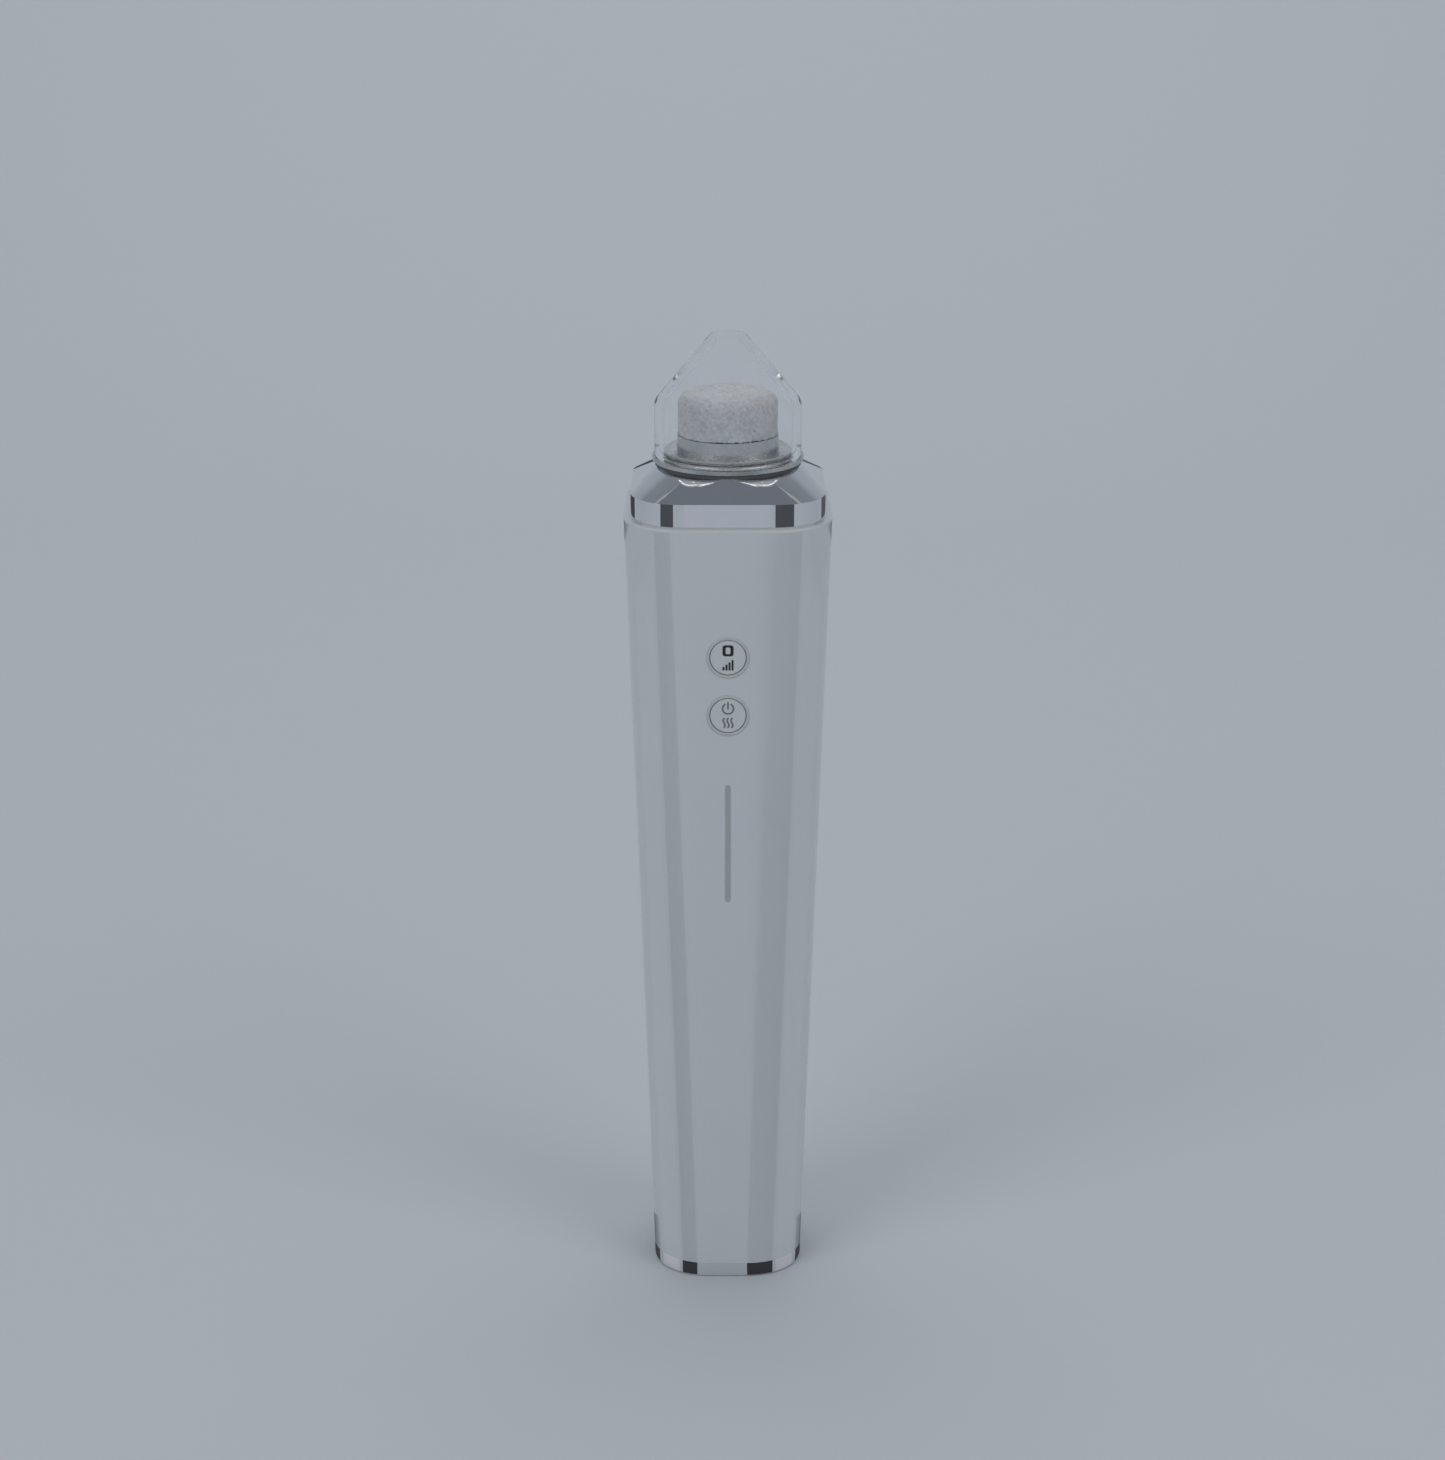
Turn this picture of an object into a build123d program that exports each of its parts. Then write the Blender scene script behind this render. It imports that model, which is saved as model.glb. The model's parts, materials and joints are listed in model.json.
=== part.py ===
from build123d import *
import math
import os

# A cordless pore vacuum: a tapered square handle that stands on its base, with a clear suction
# probe on top. Millimetres. +Z is up, the front face with the buttons looks along -Y, and the
# origin is on the table under the middle of the handle.

# ---------------------------------------------------------------- driving dimensions: overall
shoulder_z = 165.0      # height of the handle's open top rim
ring_height = 3.2
foot_width = 31.2
shoulder_width = 41.6
corner_radius = 11.5
shell_wall = 1.8
rim_round = 0.5

# Named clearances
slip = 0.10            # between parts that are slid together and stay still
running = 0.03         # radial gap of a shaft in its bush
button_gap = 0.10      # radial gap of a button in its bezel
chassis_gap = 0.20     # between the chassis and the inside of the handle
lead_gap = 0.30        # around wires and hoses

# ---------------------------------------------------------------- head
collar_step = 1.4
collar_straight = 4.8
bevel_rise = 4.0
collar_wall = 2.2
collar_web = 2.0
collar_spigot_depth = 4.0
neck_radius = 10.2
neck_height = 4.5
neck_wall = 1.4
neck_floor = 1.2
flange_margin = 0.5
flange_thickness = 0.8
gasket_thickness = 0.8
gasket_inset = 0.5
spigot_height = 1.4
seal_section = 0.3
stem_radius = 5.5
stem_length = 6.8
nut_height = 3.2
nut_flats = 15.0
barb_length = 9.0
barb_radius = 1.9
barb_lip = 0.10
lip_length = 1.6
air_radius = 1.2

# ---------------------------------------------------------------- suction probe and filter
probe_radius = 14.7
probe_wall = 1.8
probe_height = 24.6
probe_skirt = 11.0
probe_corner = 1.6
tip_radius = 3.55
tip_bore_radius = 2.45
tip_round = 0.35
foam_inset = 0.1
foam_height = 8.3
foam_round = 2.0
foam_plug_depth = 2.0
foam_plug_gap = 0.05
grid_thickness = 0.8
grid_hole_radius = 1.3
grid_circle = 5.0

# ---------------------------------------------------------------- front face
button_drop = 26.3       # from the rim down to the upper button
button_pitch = 12.2
bezel_radius = 4.3
bezel_width = 0.6
bezel_proud = 0.22
button_proud = 0.10
button_flange = 0.9
button_flange_thickness = 0.8
button_travel = 0.3
light_drop = 66.1        # from the rim down to the middle of the light bar
light_length = 25.6
light_width = 1.2
light_flange = 1.0
light_flange_thickness = 0.8
led_count = 5
led_length = 1.6
led_width = 0.8
led_height = 0.6

# ---------------------------------------------------------------- main board
board_depth = 3.8      # from the inside of the front wall to the front of the board
board_width = 22.0
board_below_motor = 8.5
board_above_button = 11.2
board_thickness = 1.0
board_screw_inset = 2.2
switch_side = 4.5
switch_height = 1.6
plunger_radius = 0.9
plunger_height = 0.6

# ---------------------------------------------------------------- motor and pump
drive_y = 1.6          # motor, pump and battery share this axis
motor_above_cell = 12.6
motor_length = 28.8
motor_radius = 12.0
can_wall = 0.9
bell_thickness = 1.6
shaft_radius = 1.0
armature_rise = 8.5      # armature above the motor's lower edge
bush_radius = 3.0
bush_length = 2.6
boss_height = 1.2
boss_wall = 0.6
post_x = 5.2
post_depth = 2.8
post_height = 6.0
terminal_x = 5.6
terminal_offset = 5.0
terminal_width = 2.0
terminal_thickness = 0.4
terminal_drop = 2.4
lead_drop = 2.6
magnet_thickness = 1.4
magnet_length = 18.0
air_gap = 0.4
armature_length = 14.0
commutator_radius = 2.6
commutator_length = 2.8
motor_foam_thickness = 0.6
motor_foam_length = 20.0
motor_foam_rise = 4.0    # foam above the motor's lower edge
pump_radius = 12.8
pump_wall = 1.2
pump_floor = 1.4
crankcase_height = 12.6
diaphragm_thickness = 1.0
valve_plate_thickness = 3.0
membrane_thickness = 0.4
cover_height = 5.0
crank_radius = 4.6
crank_height = 4.0
crank_play = 0.5
crank_grip = 1.4         # how far the shaft reaches into the crank
crank_pin_radius = 0.75
crank_tilt = 9.0
nutation_height = 9.4  # above the motor's top face
wobble_thickness = 1.2
wobble_hub_radius = 2.2
wobble_arm_reach = 7.0
wobble_arm_width = 4.0
cup_radius = 3.2
cup_wall = 0.8
cup_depth = 1.1
pump_screw_radius = 0.8
pump_screw_circle = 10.9
pump_boss_radius = 1.7
intake_offset = 5.0

# ---------------------------------------------------------------- battery, socket and base
cell_radius = 7.1
cell_length = 50.0
cell_play = 0.3
cell_pad = 0.3
tab_width = 2.4
socket_width = 8.94
socket_height = 3.16
socket_wall = 0.3
socket_depth = 7.3
socket_bottom_z = 1.2
tongue_width = 6.7
tongue_thickness = 0.7
tongue_length = 4.4
ring_wall = 2.0
ring_lip_height = 1.2
ring_lip = 3.4
ring_spigot_height = 3.0
ring_edge = 0.4
cap_recess = 0.6
cap_floor = 2.0
cap_spigot_wall = 1.4
vent_radius = 0.9
vent_count = 6
vent_circle = 9.2
cap_screw_inset_x = 7.8
cap_screw_inset_y = 10.0

# ---------------------------------------------------------------- chassis and fasteners
chassis_wall = 1.0
chassis_bottom_z = 15.2
chassis_drop = 7.0
rib = 1.6
thick_rib = 3.0
screw_radius = 0.8
screw_head_radius = 1.6
screw_head_height = 1.0
screw_boss_radius = 2.0
chassis_screw_inset = 1.3
hose_play = 0.05
hose_wall = 1.0
wire_radius = 0.55
lead_run = 1.0           # from the cell to the middle of the wires beside it
lower_solder_rise = 0.9  # the charging wires' joints, above the board's lower edge
upper_solder_rise = 2.4  # the cell wires' joints, which cross over the charging wires

# ---------------------------------------------------------------- sizes that follow
taper = (shoulder_width - foot_width) / 2 / (shoulder_z - ring_height)
face_tilt = math.degrees(math.atan(taper))
collar_half = shoulder_width / 2 - collar_step
collar_corner = corner_radius - collar_step
bevel_z = shoulder_z + collar_straight
collar_top_z = bevel_z + bevel_rise
flange_z = collar_top_z + gasket_thickness
probe_base_z = flange_z + flange_thickness
total_height = probe_base_z + probe_height
flange_radius = probe_radius + flange_margin
seat_radius = flange_radius - gasket_inset
neck_top_z = probe_base_z + neck_height
neck_floor_z = probe_base_z + neck_floor
foam_radius = neck_radius - foam_inset
stem_bottom_z = flange_z - stem_length
hose_bore = barb_radius + barb_lip + hose_play
upper_button_z = shoulder_z - button_drop
lower_button_z = upper_button_z - button_pitch
light_centre_z = shoulder_z - light_drop
button_radius = bezel_radius - bezel_width - button_gap
cap_floor_z = cap_recess + cap_floor
cap_screw_x = foot_width / 2 - cap_screw_inset_x
cap_screw_y = foot_width / 2 - cap_screw_inset_y
chassis_top_z = shoulder_z - chassis_drop
cell_bottom_z = chassis_bottom_z + rib + cell_pad + cell_play
cell_top_z = cell_bottom_z + cell_length
motor_bottom_z = cell_top_z + motor_above_cell
motor_top_z = motor_bottom_z + motor_length
bell_z = motor_bottom_z - bell_thickness
can_bore = motor_radius - can_wall
armature_radius = can_bore - magnet_thickness - air_gap
armature_z = motor_bottom_z + armature_rise
terminal_bottom_z = bell_z - terminal_drop
crank_z = motor_top_z + boss_height + crank_play
diaphragm_z = motor_top_z + crankcase_height
valve_z = diaphragm_z + diaphragm_thickness
cover_z = valve_z + valve_plate_thickness
cover_top_z = cover_z + cover_height
nutation_z = motor_top_z + nutation_height
intake_y = drive_y + intake_offset
lead_y = drive_y - cell_radius - lead_run
board_front = shell_wall + board_depth
board_back = board_front + board_thickness
board_bottom_z = motor_bottom_z - board_below_motor
board_top_z = upper_button_z + board_above_button
board_length = board_top_z - board_bottom_z
board_middle_z = (board_bottom_z + board_top_z) / 2
seat_rib_z = terminal_bottom_z - thick_rib - slip
pump_rib_z = cover_z - 1.0
upper_rib_z = board_top_z - board_screw_inset - thick_rib
chassis_screw_x = (
    foot_width / 2 + (seat_rib_z - ring_height) * taper
    - shell_wall - chassis_gap - screw_boss_radius - chassis_screw_inset
)


UPRIGHT = (Align.CENTER, Align.CENTER, Align.MIN)


def half_width(z):
    """Half the width of the handle's outer face at a height."""
    return foot_width / 2 + (z - ring_height) * taper


def square(half, radius, z):
    """A rounded square, flat at a height."""
    return Plane.XY.offset(z) * RectangleRounded(2 * half, 2 * half, radius)


def block(half, radius, z0, z1):
    """An upright rounded-square block."""
    return extrude(square(half, radius, z0), z1 - z0)


def tapered(z0, z1, inset):
    """The handle's own tapered form between two heights, taken in all round by an inset."""
    low = square(half_width(z0) - inset, corner_radius - inset, z0)
    high = square(half_width(z1) - inset, corner_radius - inset, z1)
    return loft([low, high], ruled=True)


def disc(radius, z0, z1, x=0.0, y=0.0):
    """An upright cylinder between two heights."""
    return Pos(x, y, z0) * Cylinder(radius, z1 - z0, align=UPRIGHT)


def tube(outer, inner, z0, z1, x=0.0, y=0.0):
    """An upright ring between two heights."""
    return disc(outer, z0, z1, x, y) - disc(inner, z0 - 1, z1 + 1, x, y)


def bar(x0, x1, y0, y1, z0, z1):
    """A box given by its faces."""
    return Pos((x0 + x1) / 2, (y0 + y1) / 2, (z0 + z1) / 2) * Box(x1 - x0, y1 - y0, z1 - z0)


def on_face(z, depth=0.0):
    """The front face's own frame at a height: local X right, Y up the face, Z straight out of it."""
    tilt = math.radians(face_tilt)
    origin = (0, -half_width(z) + depth * math.cos(tilt), z + depth * math.sin(tilt))
    out = (0, -math.cos(tilt), -math.sin(tilt))
    return Plane(origin=origin, x_dir=(1, 0, 0), z_dir=out).location


def pill(width, height, depth):
    """A stadium, lying flat, with its lower face at zero."""
    return extrude(SlotOverall(width, height), depth)


def behind_board(z0, z1):
    """Everything from the back of the main board rearward, between two heights."""
    middle = (z0 + z1) / 2
    deep = 3 * shoulder_width
    return on_face(middle, board_back + slip) * (Pos(0, 0, -deep / 2) * Box(deep, z1 - z0, deep))


def core(z0, z1, inset=0.0):
    """The room inside the handle, less the chassis gap and an inset."""
    return tapered(z0, z1, shell_wall + chassis_gap + inset)


def screw(length, radius=screw_radius):
    """A pan-head screw with a cross recess: head above zero, shank below."""
    body = disc(screw_head_radius, 0, screw_head_height) + disc(radius, -length, 0)
    body = fillet(body.edges().filter_by(GeomType.CIRCLE).sort_by(Axis.Z)[-1], screw_head_height * 0.45)
    arm = screw_head_radius * 1.1
    slot = Box(arm, arm / 4, screw_head_height) + Box(arm / 4, arm, screw_head_height)
    return body - Pos(0, 0, screw_head_height) * slot


def wire_along(points, share=0.45):
    """A wire through points: straight runs joined by arcs as large as the runs allow."""
    runs = [Vector(b) - Vector(a) for a, b in zip(points, points[1:])]
    radii = []
    for before, after in zip(runs, runs[1:]):
        turn = math.radians(before.get_angle(after))
        radii.append(share * min(before.length, after.length) / math.tan(turn / 2))
    path = FilletPolyline(*points, radius=radii)
    section = Plane(origin=path @ 0, z_dir=path % 0) * Circle(wire_radius)
    return sweep(section, path)


# ---------------------------------------------------------------- handle
def body_sleeve():
    """The one-piece tapered sleeve, open at both ends, with its button and light openings."""
    shell = tapered(ring_height, shoulder_z, 0)
    rim = shell.faces().sort_by(Axis.Z)[-1].edges()
    shell = fillet(rim, rim_round)
    shell -= tapered(ring_height - 1, shoulder_z + 1, shell_wall)
    for z in (upper_button_z, lower_button_z):
        shell -= on_face(z) * Cylinder(bezel_radius, 3 * shell_wall)
    slot = Pos(0, 0, -2 * shell_wall) * Rot(0, 0, 90) * pill(light_length, light_width, 4 * shell_wall)
    return shell - on_face(light_centre_z) * slot


def base_ring():
    """The bright foot ring: an inward lip for the end cap to pull on and a spigot up into the sleeve."""
    half = foot_width / 2
    ring = block(half, corner_radius, 0, ring_height)
    ring = chamfer(ring.faces().sort_by(Axis.Z)[0].edges(), ring_edge)
    spigot_half = half - shell_wall - slip
    spigot_corner = corner_radius - shell_wall - slip
    ring += block(spigot_half, spigot_corner, ring_height, ring_height + ring_spigot_height)
    lip_z = ring_height - ring_lip_height
    ring -= block(half - ring_wall, corner_radius - ring_wall, -1, lip_z)
    return ring - block(half - ring_lip, corner_radius - ring_lip, -1, total_height)


def end_cap():
    """The bottom cover: charging opening, exhaust holes and two counterbored screws."""
    half = foot_width / 2
    lip_z = ring_height - ring_lip_height
    flange = block(half - ring_wall - slip, corner_radius - ring_wall - slip, cap_recess, lip_z)
    inner = half - ring_lip - slip
    top = ring_height + ring_spigot_height
    cap = flange + block(inner, corner_radius - ring_lip - slip, lip_z, top)
    pocket = inner - cap_spigot_wall
    cap -= block(pocket, corner_radius - ring_lip - cap_spigot_wall, cap_floor_z, top + 1)
    for side in (-1, 1):
        x = side * cap_screw_x
        cap += disc(screw_boss_radius, cap_floor_z - 0.5, cap_floor_z, x, cap_screw_y)
        cap -= disc(screw_radius + slip, 0, top + 1, x, cap_screw_y)
        cap -= disc(screw_head_radius + slip, 0, cap_recess + screw_head_height + slip, x, cap_screw_y)
    cap -= pill(socket_width + 2 * slip, socket_height + 2 * slip, cap_floor_z + 1)
    for i in range(vent_count):
        angle = math.radians(-150 + 120 * i / (vent_count - 1))
        x = vent_circle * math.cos(angle)
        y = vent_circle * math.sin(angle)
        cap -= disc(vent_radius, 0, cap_floor_z + 1, x, y)
    return cap


def end_cap_screws():
    """Two screws that pull the end cap and ring up against the chassis."""
    depth = 8.0
    seat = cap_recess + screw_head_height + slip
    one = Rot(180, 0, 0) * screw(depth)
    return [Pos(side * cap_screw_x, cap_screw_y, seat) * one for side in (-1, 1)]


# ---------------------------------------------------------------- head
def bevel(half, corner, low_z, top_radius, high_z):
    """A ruled change from a rounded square to a near circle."""
    low = square(half, corner, low_z)
    high = square(top_radius, top_radius - 0.1, high_z)
    return loft([low, high], ruled=True)


def top_collar():
    """The bright collar: a straight square band, then bevels that close to the round nozzle seat."""
    collar = block(collar_half, collar_corner, shoulder_z, bevel_z)
    collar += bevel(collar_half, collar_corner, bevel_z, seat_radius, collar_top_z)
    spigot_z = shoulder_z - collar_spigot_depth
    spigot_half = half_width(spigot_z) - shell_wall - slip
    collar += block(spigot_half, corner_radius - shell_wall - slip, spigot_z, shoulder_z)
    inner = collar_half - collar_wall
    inner_corner = collar_corner - collar_wall
    roof_z = collar_top_z - collar_web
    collar -= block(inner, inner_corner, spigot_z - 1, bevel_z - collar_web)
    collar -= bevel(inner, inner_corner, bevel_z - collar_web, seat_radius - collar_wall, roof_z)
    return collar - disc(stem_radius + slip, spigot_z, total_height)


def nozzle_gasket():
    """The dark washer between the collar and the nozzle's flange."""
    return tube(seat_radius, stem_radius + slip, collar_top_z, flange_z)


def nozzle_base():
    """The turned metal seat: flange, spigot for the probe, filter cup, threaded stem and barb."""
    spigot_outer = probe_radius - probe_wall - slip
    part = disc(flange_radius, flange_z, probe_base_z)
    part += disc(spigot_outer, probe_base_z, probe_base_z + spigot_height)
    groove_z = probe_base_z + spigot_height / 2
    groove_inner = probe_radius - probe_wall - running - 2 * seal_section
    part -= tube(spigot_outer + 1, groove_inner, groove_z - seal_section, groove_z + seal_section)
    part += disc(neck_radius, probe_base_z, neck_top_z)
    part += disc(stem_radius, stem_bottom_z, flange_z)
    part += disc(barb_radius, stem_bottom_z - barb_length, stem_bottom_z)
    for i in range(3):
        lip_z = stem_bottom_z - barb_length + 0.6 + 2.2 * i
        lip = Cone(barb_radius, barb_radius + barb_lip, lip_length, align=UPRIGHT)
        part += Pos(0, 0, lip_z) * lip
    part -= disc(neck_radius - neck_wall, neck_floor_z, neck_top_z + 1)
    return part - disc(air_radius, 0, total_height)


def nozzle_nut():
    """The hexagon nut that holds the nozzle up against the collar's roof."""
    roof_z = collar_top_z - collar_web
    hexagon = Plane.XY.offset(roof_z - nut_height) * RegularPolygon(nut_flats / 2, 6, major_radius=False)
    body = extrude(hexagon, nut_height)
    return body - disc(stem_radius, 0, total_height)


def probe_seal():
    """The rubber ring in the spigot's groove."""
    ring_radius = probe_radius - probe_wall - running - seal_section
    return Pos(0, 0, probe_base_z + spigot_height / 2) * Torus(ring_radius, seal_section)


def suction_probe():
    """The clear cap: a straight skirt, a cone and a small round mouth."""
    skirt_z = probe_base_z + probe_skirt
    cone_rise = total_height - skirt_z
    cone_run = probe_radius - tip_radius
    slope = math.hypot(cone_rise, cone_run)
    thin = probe_wall * slope / cone_rise
    inner_start = skirt_z - (thin - probe_wall) * cone_rise / cone_run
    inner_radius = probe_radius - probe_wall
    land_z = inner_start + (inner_radius - tip_bore_radius) * cone_rise / cone_run
    outline = Polyline(
        (inner_radius, probe_base_z),
        (probe_radius, probe_base_z),
        (probe_radius, skirt_z),
        (tip_radius, total_height),
        (tip_bore_radius, total_height),
        (tip_bore_radius, land_z),
        (inner_radius, inner_start),
        close=True,
    )
    face = make_face(Plane.XZ * outline)
    corners = face.vertices()
    shoulder = [v for v in corners if abs(v.Z - skirt_z) < 0.01 or abs(v.Z - inner_start) < 0.01]
    face = fillet(shoulder, probe_corner)
    lips = [v for v in face.vertices() if abs(v.Z - total_height) < 0.01]
    face = fillet(lips, tip_round)
    return revolve(face, Axis.Z)


def filter_grid():
    """The plastic grid at the bottom of the filter cup."""
    radius = neck_radius - neck_wall - foam_plug_gap
    grid = disc(radius, neck_floor_z, neck_floor_z + grid_thickness)
    grid -= disc(air_radius, 0, total_height)
    for i in range(8):
        angle = math.radians(45 * i)
        x = grid_circle * math.cos(angle)
        y = grid_circle * math.sin(angle)
        grid -= disc(grid_hole_radius, 0, total_height, x, y)
    return grid


def filter_foam():
    """The sponge filter: a plug in the cup and a soft round head above it."""
    plug = disc(neck_radius - neck_wall - foam_plug_gap, neck_top_z - foam_plug_depth, neck_top_z)
    head = disc(foam_radius, neck_top_z, neck_top_z + foam_height)
    head = fillet(head.edges().filter_by(GeomType.CIRCLE).sort_by(Axis.Z)[-1], foam_round)
    return plug + head


# ---------------------------------------------------------------- controls
def button_bezel(z):
    """The thin bright ring round a button."""
    ring = tube(bezel_radius, bezel_radius - bezel_width, -shell_wall, bezel_proud)
    rim = ring.edges().filter_by(GeomType.CIRCLE).sort_by(Axis.Z)[-2:]
    return on_face(z) * fillet(rim, bezel_proud * 0.8)


def button_cap(z):
    """A button: a slightly domed face, a retaining flange behind the wall and a stub to its switch."""
    face = disc(button_radius, -shell_wall, button_proud)
    face = fillet(face.edges().filter_by(GeomType.CIRCLE).sort_by(Axis.Z)[-1], 0.25)
    flange = disc(bezel_radius + button_flange, -shell_wall - button_flange_thickness, -shell_wall)
    stub_end = -board_front + switch_height + plunger_height
    stub = disc(plunger_radius + 0.4, stub_end, -shell_wall)
    return on_face(z) * (face + flange + stub)


def tact_switch(z):
    """The switch body on the board, with a pit for its plunger."""
    low = -board_front
    body = Pos(0, 0, low + switch_height / 2) * Box(switch_side, switch_side, switch_height)
    body -= disc(plunger_radius + button_gap, low + switch_height / 3, low + switch_height + 1)
    return on_face(z) * body


def switch_plunger(z):
    """The switch's moving stub, which travels with the button."""
    low = -board_front + switch_height / 3 + button_travel + running
    high = -board_front + switch_height + plunger_height
    return on_face(z) * disc(plunger_radius, low, high)


def light_guide():
    """The clear bar behind the slot, with a flange inside the wall."""
    window = Pos(0, 0, -shell_wall) * Rot(0, 0, 90) * pill(light_length, light_width, shell_wall)
    length = light_length + 2 * light_flange
    width = light_width + 2 * light_flange
    back = -shell_wall - light_flange_thickness
    flange = Pos(0, 0, back) * Rot(0, 0, 90) * pill(length, width, light_flange_thickness)
    return on_face(light_centre_z) * (window + flange)


def status_leds():
    """A row of small lamps on the board behind the light bar."""
    pitch = (light_length - 2 * led_length) / (led_count - 1)
    lamps = []
    for i in range(led_count):
        along = (i - (led_count - 1) / 2) * pitch
        lamp = Pos(0, along, -board_front + led_height / 2) * Box(led_width, led_length, led_height)
        lamps.append(on_face(light_centre_z) * lamp)
    return lamps


def main_board():
    """The circuit board, parallel to the front face, with four screw holes."""
    board = Box(board_width, board_length, board_thickness)
    board = Pos(0, 0, -board_front - board_thickness / 2) * board
    board = fillet(board.edges().filter_by(Axis.Z), 1.0)
    for x, y in board_holes():
        board -= Pos(x, y, -board_front) * Cylinder(screw_radius + slip, 4 * board_thickness)
    return on_face(board_middle_z) * board


def board_holes():
    """Where the board's screws go, in the board's own frame."""
    x = board_width / 2 - board_screw_inset
    y = board_length / 2 - board_screw_inset
    return [(i * x, j * y) for i in (-1, 1) for j in (-1, 1)]


def board_screws():
    """Four screws that hold the board to the chassis."""
    return [on_face(board_middle_z) * Pos(x, y, -board_front) * screw(4.0) for x, y in board_holes()]


def board_parts():
    """The controller, charger chip, inductor and capacitors on the board's front."""
    layout = [
        (-6.4, -11.0, 5.0, 5.0, 0.9),
        (6.4, -9.0, 4.0, 4.0, 0.9),
        (6.2, 5.0, 4.2, 4.2, 2.0),
        (-6.4, 2.0, 3.0, 5.0, 1.1),
        (-6.4, 13.0, 1.6, 3.2, 1.0),
        (6.4, 14.0, 1.6, 3.2, 1.0),
        (0.0, -20.4, 5.4, 3.0, 2.4),
    ]
    chips = []
    for x, along, wide, tall, high in layout:
        chip = Pos(x, along, -board_front + high / 2) * Box(wide, tall, high)
        chips.append(on_face(light_centre_z) * chip)
    return chips


# ---------------------------------------------------------------- motor
def motor_can():
    """The drawn steel can, open below, with a bearing boss on its closed end."""
    roof_z = motor_top_z - can_wall
    can = disc(motor_radius, motor_bottom_z, motor_top_z, 0, drive_y)
    can = fillet(can.edges().filter_by(GeomType.CIRCLE).sort_by(Axis.Z)[-1], 0.8)
    can += disc(bush_radius + boss_wall, motor_top_z - 0.5, motor_top_z + boss_height, 0, drive_y)
    can -= disc(can_bore, motor_bottom_z - 1, roof_z, 0, drive_y)
    return can - disc(bush_radius, 0, total_height, 0, drive_y)


def motor_end_bell():
    """The plastic end: a plug in the can, a bush seat and two posts for the brushes."""
    low = bell_z
    bell = disc(motor_radius, low, motor_bottom_z, 0, drive_y)
    bell += disc(can_bore, motor_bottom_z, motor_bottom_z + bell_thickness, 0, drive_y)
    bell += disc(bush_radius + boss_wall, low - boss_height, low, 0, drive_y)
    for side in (-1, 1):
        post = sorted((side * post_x, side * (post_x + post_depth)))
        bell += bar(*post, drive_y - 1.5, drive_y + 1.5, motor_bottom_z, motor_bottom_z + post_height)
        bell -= terminal(side, slip)
    return bell - disc(bush_radius, 0, total_height, 0, drive_y)


def terminal(side, grow=0.0):
    """One flat tab through the end bell, or the slot for it."""
    x = side * terminal_x
    y = drive_y - terminal_offset
    wide = terminal_width / 2 + grow
    thick = terminal_thickness / 2 + grow
    high = motor_bottom_z + bell_thickness
    return bar(x - wide, x + wide, y - thick, y + thick, terminal_bottom_z, high)


def motor_terminals():
    """The two tabs that the motor's wires are soldered to."""
    return [terminal(side) for side in (-1, 1)]


def motor_brushes():
    """Two carbon brushes that bear on the commutator from the posts."""
    inner = commutator_radius + running
    z = motor_bottom_z + 3.4
    brush = bar(inner, post_x, drive_y - 0.8, drive_y + 0.8, z, z + 1.8)
    return [brush, mirror(brush, Plane.YZ)]


def motor_bushes():
    """The bronze bushes at both ends of the shaft."""
    low = bell_z - boss_height
    high = motor_top_z + boss_height
    bore = shaft_radius + running
    lower = tube(bush_radius, bore, low, low + bush_length, 0, drive_y)
    upper = tube(bush_radius, bore, high - bush_length, high, 0, drive_y)
    return [lower, upper]


def motor_magnets():
    """Two curved magnets inside the can."""
    outer = can_bore
    z = motor_bottom_z + 6.5
    ring = tube(outer, outer - magnet_thickness, z, z + magnet_length, 0, drive_y)
    cut = bar(-4.5, 4.5, -outer + drive_y - 1, outer + drive_y + 1, z - 1, z + magnet_length + 1)
    return list((ring - cut).solids())


def motor_shaft():
    """The steel shaft, from the lower bush up into the crank."""
    low = bell_z - boss_height + 0.4
    return disc(shaft_radius, low, crank_z + crank_grip, 0, drive_y)


def armature_core():
    """Three laminated poles on the shaft."""
    z = armature_z
    core_body = disc(armature_radius, z, z + armature_length, 0, drive_y)
    hub = 3.4
    for i in range(3):
        angle = 60 + 120 * i
        slot = bar(hub, armature_radius - 1.4, -2.6, 2.6, z - 1, z + armature_length + 1)
        mouth = bar(hub, armature_radius + 1, -0.6, 0.6, z - 1, z + armature_length + 1)
        core_body -= Pos(0, drive_y, 0) * Rot(0, 0, angle) * (slot + mouth)
    return core_body - disc(shaft_radius, 0, total_height, 0, drive_y)


def armature_windings():
    """The coils that fill the slots."""
    z = armature_z
    coils = []
    for i in range(3):
        angle = 60 + 120 * i
        for side in (-1, 1):
            y0 = min(side * 0.7, side * 2.5)
            coil = bar(3.5, armature_radius - 1.5, y0, y0 + 1.8, z - 1.2, z + armature_length + 1.2)
            coils.append(Pos(0, drive_y, 0) * Rot(0, 0, angle) * coil)
    return coils


def commutator():
    """The segmented drum that the brushes run on."""
    z = motor_bottom_z + 3.0
    drum = tube(commutator_radius, shaft_radius, z, z + commutator_length, 0, drive_y)
    for i in range(3):
        deep = commutator_radius - 0.5
        cut = bar(deep, commutator_radius + 1, -0.15, 0.15, z - 1, z + commutator_length + 1)
        drum -= Pos(0, drive_y, 0) * Rot(0, 0, 120 * i) * cut
    return drum


def motor_foam():
    """The foam band that keeps the motor's hum out of the handle, clear of the board."""
    low = motor_bottom_z + motor_foam_rise
    high = low + motor_foam_length
    band = tube(motor_radius + motor_foam_thickness, motor_radius, low, high, 0, drive_y)
    return band & behind_board(low - 1, high + 1)


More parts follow.
